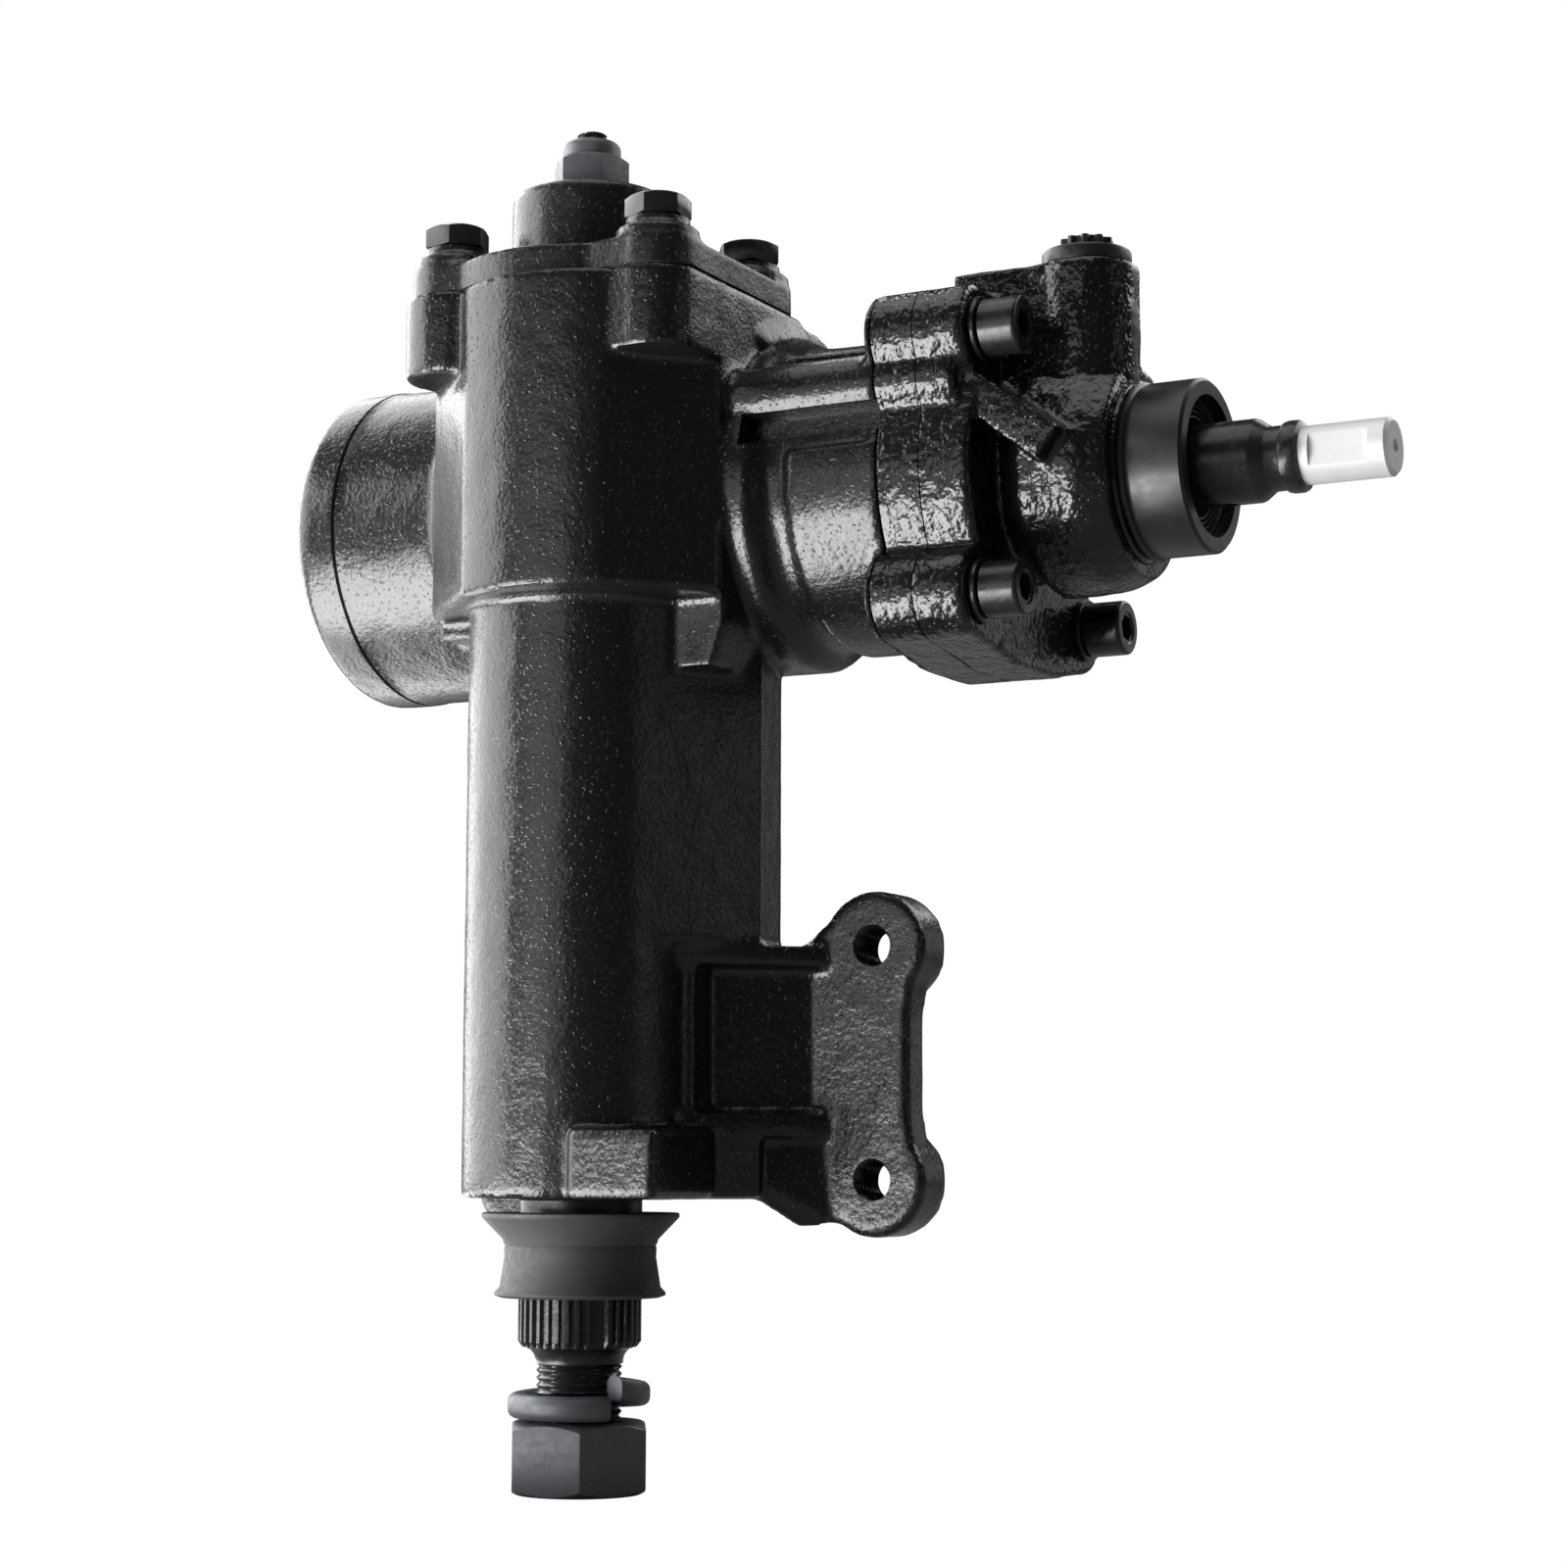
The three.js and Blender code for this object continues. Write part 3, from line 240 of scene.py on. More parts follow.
def eased_rod(radius, axis, centre, start, end, ease, facets=FINE):
    """A rod with both its edges rounded off."""
    lower = arc((radius - ease, start + ease), ease, -90, 0, EDGE_STEPS)
    upper = arc((radius - ease, end - ease), ease, 0, 90, EDGE_STEPS)
    return turned([*lower, *upper], axis, centre, facets)


def tube(inner, outer, axis, centre, start, end, facets=ROUND):
    """A plain ring."""
    profile = [(inner, start), (outer, start), (outer, end), (inner, end), (inner, start)]
    return turned(profile, axis, centre, facets)


def threaded(radius, depth, pitch, axis, centre, start, end, facets=40):
    """A rod with a screw thread, or the hole that takes one."""
    count = round((end - start) / pitch * THREAD_STEPS)
    places = [start + (end - start) * i / count for i in range(count + 1)]

    def radius_at(angle, place):
        turn = (place / pitch - angle / (2 * math.pi)) % 1
        return radius - depth * abs(2 * turn - 1)

    return shaped(radius_at, axis, centre, places, facets)


def hexagon(centre, across_flats, face_degrees):
    """A hexagon with a flat that faces that way."""
    return arc(centre, across_flats / math.sqrt(3), face_degrees + 30, face_degrees + 330, 5)


def solid(name, *shapes):
    """One mesh object from closed shapes, with every face looking outwards."""
    built = bmesh.new()
    for corners, faces in shapes:
        made = [built.verts.new(metres(corner)) for corner in corners]
        for face in faces:
            built.faces.new([made[i] for i in face])
    bmesh.ops.remove_doubles(built, verts=built.verts, dist=1e-7)
    bmesh.ops.dissolve_degenerate(built, edges=built.edges, dist=1e-8)
    bmesh.ops.recalc_face_normals(built, faces=built.faces)
    mesh = bpy.data.meshes.new(name)
    built.to_mesh(mesh)
    built.free()
    piece = bpy.data.objects.new(name, mesh)
    bpy.context.scene.collection.objects.link(piece)
    return piece


def settle(piece):
    """Applies a piece's modifiers to its mesh."""
    ready = piece.evaluated_get(bpy.context.evaluated_depsgraph_get())
    mesh = bpy.data.meshes.new_from_object(ready)
    piece.modifiers.clear()
    piece.data = mesh
    return piece


def combined(piece, operation, shapes):
    """A piece after each shape in turn is cut from it, joined to it, or kept in common with it."""
    tools = [solid("tool", shape) for shape in shapes]
    for tool in tools:
        modifier = piece.modifiers.new("machine", "BOOLEAN")
        modifier.operation = operation
        modifier.solver = "MANIFOLD"
        modifier.object = tool
    settle(piece)
    for tool in tools:
        bpy.data.objects.remove(tool)
    return piece


def cut(piece, *shapes):
    """A piece after shapes are cut from it."""
    return combined(piece, "DIFFERENCE", shapes)


def joined(piece, *shapes):
    """A piece with shapes joined to it."""
    return combined(piece, "UNION", shapes)


def common(piece, *shapes):
    """The part of a piece that lies inside the shapes."""
    return combined(piece, "INTERSECT", shapes)


def cast(name, shapes, voxel, passes, ripple):
    """Shapes melted into one casting: soft edges, fillets where they meet, and a rippled skin."""
    piece = solid(name, *shapes)
    melt = piece.modifiers.new("melt", "REMESH")
    melt.mode = "VOXEL"
    melt.voxel_size = voxel * MM
    soften = piece.modifiers.new("soften", "SMOOTH")
    soften.factor = 0.5
    soften.iterations = passes
    skin = bpy.data.textures.new("sand_mould", "CLOUDS")
    skin.noise_scale = RIPPLE_LENGTH * MM
    skin.noise_depth = 2
    swell = piece.modifiers.new("swell", "DISPLACE")
    swell.texture = skin
    swell.texture_coords = "LOCAL"
    swell.strength = ripple * MM
    return settle(piece)


def eased(piece, width):
    """A piece with its sharp edges broken, as machining leaves them."""
    bevel = piece.modifiers.new("ease", "BEVEL")
    bevel.width = width * MM
    bevel.segments = 2
    bevel.limit_method = "ANGLE"
    bevel.angle_limit = math.radians(SHARP_DEGREES)
    bevel.harden_normals = False
    return settle(piece)


def finished(piece, body, nodes, finish, smooth_below=32):
    """Shades a piece, gives it its finish and hands it to the frame."""
    mesh = piece.data
    mesh.polygons.foreach_set("use_smooth", [True] * len(mesh.polygons))
    mesh.set_sharp_from_angle(angle=math.radians(smooth_below))
    mesh.materials.clear()
    mesh.materials.append(MATERIALS[finish])
    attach(piece, body)
    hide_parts(*nodes)
    return piece


# -------------------------------------------------------------------------- materials

BLACK_PAINT = (0.005, 0.005, 0.0055)
BLACK_OXIDE = (0.012, 0.012, 0.013)
EVEN = (1, 1, 1)  # marks that run no way in particular
TURNED = (5, 1, 1)  # marks that run round a piece turned about the worm axis

class Finish:
    """A material's node tree, with short ways to add the nodes that finishes share."""

    def __init__(self, name, colour, roughness, metallic=0.0):
        self.material = bpy.data.materials.new(name)
        self.material.use_nodes = True
        self.tree = self.material.node_tree
        self.shader = self.tree.nodes["Principled BSDF"]
        self.shader.inputs["Base Color"].default_value = (*colour, 1)
        self.shader.inputs["Roughness"].default_value = roughness
        self.shader.inputs["Metallic"].default_value = metallic
        self.place = self.node("ShaderNodeTexCoord").outputs["Object"]
        self.last_bump = None

    def node(self, kind, **settings):
        """A new node with those settings."""
        made = self.tree.nodes.new(kind)
        for name, value in settings.items():
            setattr(made, name, value)
        return made

    def link(self, start, end):
        self.tree.links.new(start, end)

    def noise(self, grain, detail=2.0, stretch=(1, 1, 1)):
        """Noise with grains of about that many millimetres."""
        mapping = self.node("ShaderNodeMapping")
        mapping.inputs["Scale"].default_value = stretch
        made = self.node("ShaderNodeTexNoise")
        made.inputs["Scale"].default_value = 1 / (grain * MM)
        made.inputs["Detail"].default_value = detail
        self.link(self.place, mapping.inputs["Vector"])
        self.link(mapping.outputs["Vector"], made.inputs["Vector"])
        return made.outputs["Fac"]

    def ranged(self, value, low, high, out_low, out_high):
        """A value's range from low to high stretched over another range."""
        limits = {"From Min": low, "From Max": high, "To Min": out_low, "To Max": out_high}
        made = self.node("ShaderNodeMapRange")
        for name, number in limits.items():
            made.inputs[name].default_value = number
        self.link(value, made.inputs["Value"])
        return made.outputs["Result"]

    def bump(self, height, depth):
        """Adds a relief of that many millimetres over what is there already."""
        made = self.node("ShaderNodeBump")
        made.inputs["Strength"].default_value = 1.0
        made.inputs["Distance"].default_value = depth * MM
        self.link(height, made.inputs["Height"])
        if self.last_bump:
            self.link(self.last_bump, made.inputs["Normal"])
        self.last_bump = made.outputs["Normal"]
        self.link(self.last_bump, self.shader.inputs["Normal"])

    def colours(self, value, first, second):
        """Lets the colour drift between two as a value goes from 0 to 1."""
        ramp = self.node("ShaderNodeMix", data_type="RGBA")
        ramp.inputs["A"].default_value = (*first, 1)
        ramp.inputs["B"].default_value = (*second, 1)
        self.link(value, ramp.inputs["Factor"])
        self.link(ramp.outputs["Result"], self.shader.inputs["Base Color"])

    def roughness(self, value, low, high):
        """Lets the roughness drift between two with a noise, most of which is near its middle."""
        spread = self.ranged(value, 0.35, 0.65, low, high)
        self.link(spread, self.shader.inputs["Roughness"])


def enamel(name, pebble, relief, lumps, low, high):
    """Black paint over a sand casting: lumps, pebbles, sand, rare grains and a varying gloss."""
    finish = Finish(name, BLACK_PAINT, low)
    finish.roughness(finish.noise(1.1, 3), low, high)
    finish.bump(finish.noise(6.0, 1), lumps)
    finish.bump(finish.noise(pebble, 1.5), relief)
    finish.bump(finish.noise(0.45, 1), 0.022)
    grains = finish.ranged(finish.noise(0.9, 0), 0.69, 0.8, 0, 1)
    finish.bump(grains, 0.1)
    return finish.material


def metal(name, metallic, colour, second, low, high, grain, relief, stretch):
    """Bare or plated metal with tool marks along one direction and patches of colour."""
    finish = Finish(name, colour, low, metallic)
    finish.colours(finish.noise(5, 3), colour, second)
    finish.roughness(finish.noise(2, 4), low, high)
    finish.bump(finish.noise(grain, 2, stretch), relief)
    return finish.material


def soft(name, colour, second, low, high, grain, relief):
    """Rubber, plastic or gasket sheet: matt, with a fine moulded grain."""
    finish = Finish(name, colour, low)
    finish.colours(finish.noise(6, 2), colour, second)
    finish.roughness(finish.noise(1.5, 3), low, high)
    finish.bump(finish.noise(grain, 3), relief)
    return finish.material


# Pebble size, pebble relief, lump relief, and the lowest and highest roughness.
ENAMELS = {
    "housing_enamel": (1.2, 0.13, 0.15, 0.2, 0.3),
    "valve_enamel": (2.0, 0.42, 0.5, 0.14, 0.24),
    "cover_enamel": (1.3, 0.10, 0.1, 0.26, 0.36),
}
# How metallic it is, two colours, the lowest and highest roughness, and the size, relief and
# direction of its tool marks.
METALS = {
    "black_fastener": (0.3, BLACK_OXIDE, (0.02, 0.02, 0.021), 0.2, 0.32, 0.5, 0.01, EVEN),
    "collar_satin": (0.2, BLACK_OXIDE, (0.018, 0.018, 0.019), 0.3, 0.4, 0.4, 0.012, (6, 1, 1)),
    "phosphate": (0.55, (0.085, 0.09, 0.1), (0.12, 0.125, 0.135), 0.42, 0.58, 0.35, 0.02, EVEN),
    "shaft_enamel": (0.3, BLACK_OXIDE, (0.02, 0.02, 0.022), 0.2, 0.34, 0.7, 0.05, EVEN),
    "bright_steel": (0.3, (0.66, 0.66, 0.67), (0.76, 0.76, 0.77), 0.45, 0.55, 1.6, 0.06, TURNED),
    "bearing_steel": (1, (0.5, 0.5, 0.51), (0.6, 0.6, 0.61), 0.22, 0.34, 0.6, 0.01, TURNED),
    "rack_iron": (1, (0.12, 0.12, 0.125), (0.18, 0.18, 0.185), 0.4, 0.55, 1.2, 0.04, EVEN),
    "bronze": (1, (0.42, 0.26, 0.12), (0.5, 0.32, 0.15), 0.3, 0.42, 0.6, 0.015, EVEN),
}
# Two colours, the lowest and highest roughness, and the size and relief of its grain.
SOFT_GOODS = {
    "boot_rubber": ((0.03, 0.031, 0.034), (0.042, 0.043, 0.046), 0.55, 0.72, 0.6, 0.015),
    "seal_rubber": ((0.03, 0.03, 0.032), (0.045, 0.045, 0.047), 0.25, 0.4, 0.5, 0.01),
    "cap_plastic": ((0.009, 0.009, 0.01), (0.014, 0.014, 0.015), 0.3, 0.45, 0.8, 0.012),
    "ring_plastic": ((0.05, 0.045, 0.04), (0.07, 0.06, 0.05), 0.4, 0.5, 0.8, 0.01),
    "gasket": ((0.02, 0.021, 0.022), (0.035, 0.036, 0.037), 0.7, 0.85, 0.7, 0.03),
}
MATERIALS = {
    **{name: enamel(name, *settings) for name, settings in ENAMELS.items()},
    **{name: metal(name, *settings) for name, settings in METALS.items()},
    **{name: soft(name, *settings) for name, settings in SOFT_GOODS.items()},
}

# ---------------------------------------------------------------------------- housing


def cover_outline(inset=0.0):
    """Plan of the cover: an ear round each bolt, and a belly between the two front ears."""
    left, right = COVER_BOLT_X
    front, back = COVER_BOLT_Y
    ear = COVER_EAR_RADIUS - inset
    return [
        *arc((left, front), ear, 180, 285, 12),
        *arc(ON_SECTOR, 38 - inset, 240, 300, 16),
        *arc((right, front), ear, 255, 360, 12),
        *arc((right, back), ear, 0, 90, 10),
        *arc((left, back), ear, 90, 180, 10),
    ]


def chamber_shapes():
    """The block round the sector gear. It is a little too tall, and is then cut to its height."""
    top = CHAMBER_TOP + 0.8
    outline = [
        (CHAMBER_LEFT, WORM_Y),
        (CHAMBER_LEFT, -10),
        *arc((3, 0), 40.5, 242, 302, 16),
        (CHAMBER_RIGHT, -10),
        (CHAMBER_RIGHT, WORM_Y),
    ]
    return [
        prism(outline, "z", CHAMBER_BOTTOM, top),
        prism(cover_outline(), "z", 31, top),
        rod(13.2, "z", COVER_BOLTS[0], 30.5, top),
        block(CHAMBER_LEFT, -20, -6, WORM_Y, -35, CHAMBER_BOTTOM + 1),
    ]


def stem_shapes():
    """The long tube down to the arm, with the flat-sided body that joins it to the bracket."""
    outline = [*arc(ON_SECTOR, STEM_RADIUS, 180, 329, 40), (45, 14), (43, 30), (-30, 30)]
    shoulder = [(20, -29), (46, -29), (46, -36), (42, -48), (20, -48)]
    return [
        prism(outline, "z", -118.6, CHAMBER_BOTTOM + 1),
        rod(STEM_RADIUS, "z", ON_SECTOR, STEM_BOTTOM, CHAMBER_BOTTOM + 1),
        block(-30, 33, 0, BRACKET_FRONT_Y + 1, -170, -117),
        prism(outline, "z", STEM_BOTTOM, -166),
        block(14.4, 39.4, -30.6, 0, STEM_BOTTOM, -166.5),
        prism(shoulder, "y", -8, 30),
    ]


def bracket_outline():
    """The rail bracket seen from the front: an ear round each of its four holes."""
    left, right = BRACKET_HOLE_X
    low, high = BRACKET_HOLE_Z
    ear = BRACKET_EAR_RADIUS
    middle = (low + high) / 2
    waist = 10
    return [
        *arc((right, low), ear, -90, 40, 16),
        (right + waist, middle - 12),
        (right + waist, middle + 12),
        *arc((right, high), ear, -40, 150, 20),
        (45, high - 4),
        (left + 20, high - 4),
        *arc((left, high), ear, 30, 220, 20),
        (left - waist, middle + 12),
        (left - waist, middle - 12),
        *arc((left, low), ear, 140, 270, 16),
        (left + 30, STEM_BOTTOM),
        (right - 28, STEM_BOTTOM),
    ]


def bracket_shapes():
    """The rail bracket, and the ribs and pocket wall that carry it."""
    middle = sum(BRACKET_HOLE_Z) / 2
    rib = [(10, -24), (30, -5), (59, 27), (10, 30)]
    pocket = [(10, 0), (31, 8), (53.5, 26.5), (53.5, 30), (10, 30)]
    gusset_top = [Vector((20, -2, -165)), Vector((57, 27, -165)), Vector((20, 27, -165))]
    gusset_foot = [Vector((50, 24, -191)), Vector((60, 27, -191)), Vector((50, 27, -191))]
    ears = [
        rod(BRACKET_EAR_RADIUS, "y", hole, BRACKET_FRONT_Y, PAD_FACE_Y) for hole in BRACKET_HOLES
    ]
    return [
        prism(bracket_outline(), "y", BRACKET_FRONT_Y, BRACKET_BACK_Y),
        *ears,
        block(-7.5, 42.5, BRACKET_FRONT_Y, PAD_FACE_Y, middle - 22, middle + 22),
        prism(rib, "z", -124, -118.6),
        prism(rib, "z", -168, -162),
        prism(pocket, "z", -166, -120),
        lofted([gusset_top, gusset_foot]),
    ]


def flange_shapes(start, end):
    """The four-eared flange that the housing, the adapter plate and the valve housing share."""
    low = -FLANGE_REACH - FLANGE_EAR_RADIUS
    bottom = [
        (WORM_Y - FLANGE_REACH, -25),
        (WORM_Y - FLANGE_REACH, low),
        (WORM_Y - 8, low - 4),
        (WORM_Y + 14, low - 4),
        (WORM_Y + FLANGE_REACH, low),
        (WORM_Y + FLANGE_REACH, -25),
    ]
    left, right = WORM_Y - FLANGE_REACH, WORM_Y + FLANGE_REACH
    return [
        rod(CYLINDER_RIGHT_RADIUS, "x", ON_WORM, start, end),
        *[rod(FLANGE_EAR_RADIUS, "x", screw, start, end) for screw in FLANGE_SCREWS],
        block(start, end, left, right, FLANGE_REACH - 8, FLANGE_REACH + FLANGE_EAR_RADIUS),
        prism(bottom, "x", start, end),
    ]


def oil_passage(start, end):
    """The round oil passage high on the front of the housing."""
    return rod(8.4, "x", (0.8, 21.8), start, end)


def sector_of_cylinder(radii, places, first_angle, last_angle):
    """A wedge of a turned body round the worm axis, with its angles counted from +Y towards +Z."""
    rings = []
    for radius, place in zip(radii, places):
        outline = [ON_WORM, *arc(ON_WORM, radius, first_angle, last_angle, 60)]
        rings.append([on_sweep("x", y, z, place) for y, z in outline])
    return lofted(rings)


def cylinder_shapes():
    """The rack's cylinder, its flange, and the thicker panels round its neck."""
    outer = [
        (CYLINDER_RADIUS - 1.5, CYLINDER_LEFT),
        (CYLINDER_RADIUS + 0.5, CYLINDER_LEFT + 2),
        (CYLINDER_RADIUS + 0.5, -76),
        (CYLINDER_RADIUS, -75),
        (CYLINDER_RADIUS, 52),
        (CYLINDER_NECK_RADIUS, 56),
        (CYLINDER_NECK_RADIUS, HOUSING_FACE_X),
    ]
    panel = CYLINDER_RIGHT_RADIUS + 0.3
    saddle = [51, 46.5, 43.5, 42, 41.5, CYLINDER_RIGHT_RADIUS]
    return [
        turned(outer, "x", ON_WORM),
        sector_of_cylinder([panel, panel], [62.5, HOUSING_FACE_X], 171.5, 350),
        sector_of_cylinder(saddle, [46, 48, 51, 56, 62, HOUSING_FACE_X], 28, 122),
        *flange_shapes(HOUSING_FACE_X - 2.2, HOUSING_FACE_X),
        oil_passage(44, HOUSING_FACE_X),
    ]


def rail_thread(hole):
    """The threaded hole that takes a rail bolt."""
    depth, pitch = 0.9, 1.8
    start, end = BRACKET_FRONT_Y - 2, PAD_FACE_Y + 2
    return threaded(BRACKET_HOLE_RADIUS + 0.5, depth, pitch, "y", hole, start, end)


def flange_facing(start, end):
    """What a facing cut takes off a flange, between two places along the worm."""
    return block(start, end, -20, 100, -70, 70)


def screw_holes(start, end):
    return [rod(SCREW_HOLE_RADIUS, "x", screw, start, end, FINE) for screw in FLANGE_SCREWS]


def make_housing():
    shapes = [*cylinder_shapes(), *chamber_shapes(), *stem_shapes(), *bracket_shapes()]
    piece = cast("housing", shapes, voxel=1.1, passes=8, ripple=0.3)
    groove = [
        (GROOVE_BOTTOM_RADIUS, GROOVE_X),
        (CYLINDER_RADIUS + 2, GROOVE_X - GROOVE_HALF_WIDTH),
        (CYLINDER_RADIUS + 2, GROOVE_X + GROOVE_HALF_WIDTH),
        (GROOVE_BOTTOM_RADIUS, GROOVE_X),
    ]
    below_passage = [(-9, 17.6), (0.2, 15.4), (0.2, 11.0), (-9, 8.4)]
    cut(
        piece,
        turned(groove, "x", ON_WORM),
        prism(below_passage, "x", 50, HOUSING_FACE_X + 1),
        rod(BORE_RADIUS, "x", ON_WORM, CYLINDER_LEFT - 2, HOUSING_FACE_X + 2),
        rod(PLUG_SEAT_RADIUS, "x", ON_WORM, CYLINDER_LEFT - 2, -78),
        rod(SNAP_GROOVE_RADIUS, "x", ON_WORM, -86.5, -84.3),
        rod(CHAMBER_BORE_RADIUS, "z", ON_SECTOR, -26, CHAMBER_TOP + 2),
        rod(STEM_BORE_RADIUS, "z", ON_SECTOR, STEM_BOTTOM - 2, -25),
        flange_facing(HOUSING_FACE_X, HOUSING_FACE_X + 4),
        block(-60, 60, -50, 60, CHAMBER_TOP + JOINT_CLOSING, CHAMBER_TOP + 8),
        block(-60, 100, PAD_FACE_Y, PAD_FACE_Y + 4, -200, -100),
        *[rod(COVER_HOLE_RADIUS, "z", bolt, 33.5, CHAMBER_TOP + 2, FINE) for bolt in COVER_BOLTS],
        *screw_holes(80, HOUSING_FACE_X + 2),
        *[rail_thread(hole) for hole in BRACKET_HOLES],
    )
    finished(piece, "gear_case", ["housing"], "housing_enamel")


# ------------------------------------------------------------------ cover and its bolts


def make_cover():
    boss = [
        (26, COVER_TOP - 2),
        (23.4, COVER_TOP + 0.6),
        (COVER_BOSS_RADIUS + 0.6, COVER_TOP + 2.4),
        (COVER_BOSS_RADIUS, COVER_TOP + 5),
        (COVER_BOSS_RADIUS, COVER_BOSS_TOP - 1.9),
        (COVER_BOSS_RADIUS - 0.5, COVER_BOSS_TOP - 0.7),
        (COVER_BOSS_RADIUS - 1.5, COVER_BOSS_TOP - 0.2),
        (9, COVER_BOSS_TOP),
    ]
    shapes = [prism(cover_outline(), "z", COVER_BOTTOM - 2, COVER_TOP)]
    spot_faces = []
    bolt_holes = []
    for bolt in COVER_BOLTS:
        shapes.append(rod(10.9, "z", bolt, COVER_TOP - 5, COVER_EAR_TOP))
        shapes.append(rod(8.4, "z", bolt, COVER_TOP, COVER_SPOT_FACE + 1.5))
        spot_faces.append(rod(12, "z", bolt, COVER_SPOT_FACE, COVER_SPOT_FACE + 5, FINE))
        bolt_holes.append(rod(COVER_HOLE_RADIUS, "z", bolt, COVER_BOTTOM - 1, 72, FINE))
    shapes.append(turned(boss, "z", ON_SECTOR))
    piece = cast("side_cover", shapes, voxel=0.8, passes=6, ripple=0.2)
    below = block(-60, 60, -60, 60, 40, COVER_BOTTOM - JOINT_CLOSING)
    cut(piece, below, *spot_faces)
    joined(piece, rod(CHAMBER_BORE_RADIUS - GAP, "z", ON_SECTOR, 44, COVER_BOTTOM + 1))
    cut(
        piece,
        rod(14.2, "z", ON_SECTOR, 43, 68),
        rod(ADJUSTER_HOLE_RADIUS, "z", ON_SECTOR, 67, COVER_BOSS_TOP + 2, FINE),
        *bolt_holes,
    )
    finished(piece, "gear_case", ["side_cover"], "cover_enamel")


def make_gasket():
    piece = solid("cover_gasket", prism(cover_outline(0.6), "z", GASKET_BOTTOM, GASKET_TOP))
    start, end = GASKET_BOTTOM - 2, GASKET_TOP + 2
    holes = [rod(COVER_HOLE_RADIUS + GAP, "z", bolt, start, end, FINE) for bolt in COVER_BOLTS]
    cut(piece, rod(CHAMBER_BORE_RADIUS + GAP, "z", ON_SECTOR, start, end), *holes)
    finished(piece, "gear_case", ["cover_gasket"], "gasket")


def make_cover_bolt(number, bolt):
    """A flanged hexagon bolt. Each one stopped at a different angle when it was tightened."""
    name = f"cover_bolt_{number}"
    bottom, top = COVER_SPOT_FACE + GAP, COVER_BOLT_HEAD_TOP
    across = COVER_BOLT_ACROSS_FLATS
    face = -41 - 14 * (number - 1)
    piece = solid(name, prism(hexagon(bolt, across, face), "z", bottom + 0.2, top))
    crown = [
        (across * 0.5, bottom - 1),
        (across * 0.5, bottom + 0.2),
        (across * 0.6, bottom + 0.6),
        (across * 0.6, top - 1.2),
        (across * 0.46, top - 0.1),
        (across * 0.30, top),
        (across * 0.26, top - 0.8),
    ]
    common(piece, turned(crown, "z", bolt, FINE))
    eased(piece, 0.3)
    joined(
        piece,
        rod(7.0, "z", bolt, bottom - 0.2, bottom + 0.5, FINE),
        rod(COVER_BOLT_RADIUS, "z", bolt, 35, bottom, FINE),
    )
    finished(piece, "gear_case", [name], "black_fastener")


def make_adjuster_screw():
    top = ADJUSTER_TOP
    screw = solid("adjuster_screw", threaded(4.2, 0.55, 1.25, "z", ON_SECTOR, 61, top - 0.2))
    tip = [(5, 60), (5, top - 1.3), (3.3, top), (2.2, top), (2.0, top - 0.9)]
    common(screw, turned(tip, "z", ON_SECTOR, FINE))
    joined(screw, rod(6.3, "z", ON_SECTOR, 57.9, 62, FINE))
    finished(screw, "gear_case", ["adjuster_screw"], "black_fastener")


def make_adjuster_lock_nut():
    """A hexagon nut with a domed collar on top."""
    bottom, shoulder, top = COVER_BOSS_TOP + GAP, LOCK_NUT_TOP - 4.6, LOCK_NUT_TOP
    flats = prism(hexagon(ON_SECTOR, LOCK_NUT_ACROSS_FLATS, -76), "z", bottom, shoulder)
    nut = solid("adjuster_lock_nut", flats)
    crown = [
        (9.9, bottom),
        (10.8, bottom + 0.8),
        (10.8, shoulder - 1.7),
        (8.4, shoulder),
    ]
    common(nut, turned(crown, "z", ON_SECTOR, FINE))
    eased(nut, 0.3)
    dome = [
        (7.8, shoulder - 2),
        (7.8, top - 2),
        *arc((5.8, top - 2), 2, 0, 80, 6),
        (5.6, top),
    ]
    joined(nut, turned(dome, "z", ON_SECTOR, FINE))
    cut(nut, rod(ADJUSTER_HOLE_RADIUS, "z", ON_SECTOR, bottom - 2, top + 2, FINE))
    finished(nut, "gear_case", ["adjuster_lock_nut"], "phosphate")


# ----------------------------------------------------------------------- sector shaft

SECTOR_FULL_TEETH = 9
SECTOR_PITCH_RADIUS = 17
TOOTH_ADDENDUM, TOOTH_DEDENDUM = 3.3, 4
PRESSURE_ANGLE = math.pi / 6
BACKLASH = 0.5
FLANK_STEPS = 8  # facets along a tooth's flank
GEAR_HALF_HEIGHT = 24
TOOTH_PITCH = 2 * math.pi * SECTOR_PITCH_RADIUS / SECTOR_FULL_TEETH


def involute(angle):
    return math.tan(angle) - angle


def sector_tooth(aim_degrees):
    """One involute tooth of the sector gear, from its base circle out to its tip."""
    base = SECTOR_PITCH_RADIUS * math.cos(PRESSURE_ANGLE)
    half = (TOOTH_PITCH - BACKLASH) / 4 / SECTOR_PITCH_RADIUS + involute(PRESSURE_ANGLE)
    root = SECTOR_PITCH_RADIUS - TOOTH_DEDENDUM
    tip = SECTOR_PITCH_RADIUS + TOOTH_ADDENDUM
    flank = [(root - 1, half)]
    for i in range(FLANK_STEPS + 1):
        radius = base + (tip - base) * i / FLANK_STEPS
        flank.append((radius, half - involute(math.acos(base / radius))))
    aim = math.radians(aim_degrees)
    right = [(r * math.cos(aim - a), r * math.sin(aim - a)) for r, a in flank]
    left = [(r * math.cos(aim + a), r * math.sin(aim + a)) for r, a in reversed(flank)]
    return prism(right + left, "z", -GEAR_HALF_HEIGHT, GEAR_HALF_HEIGHT)


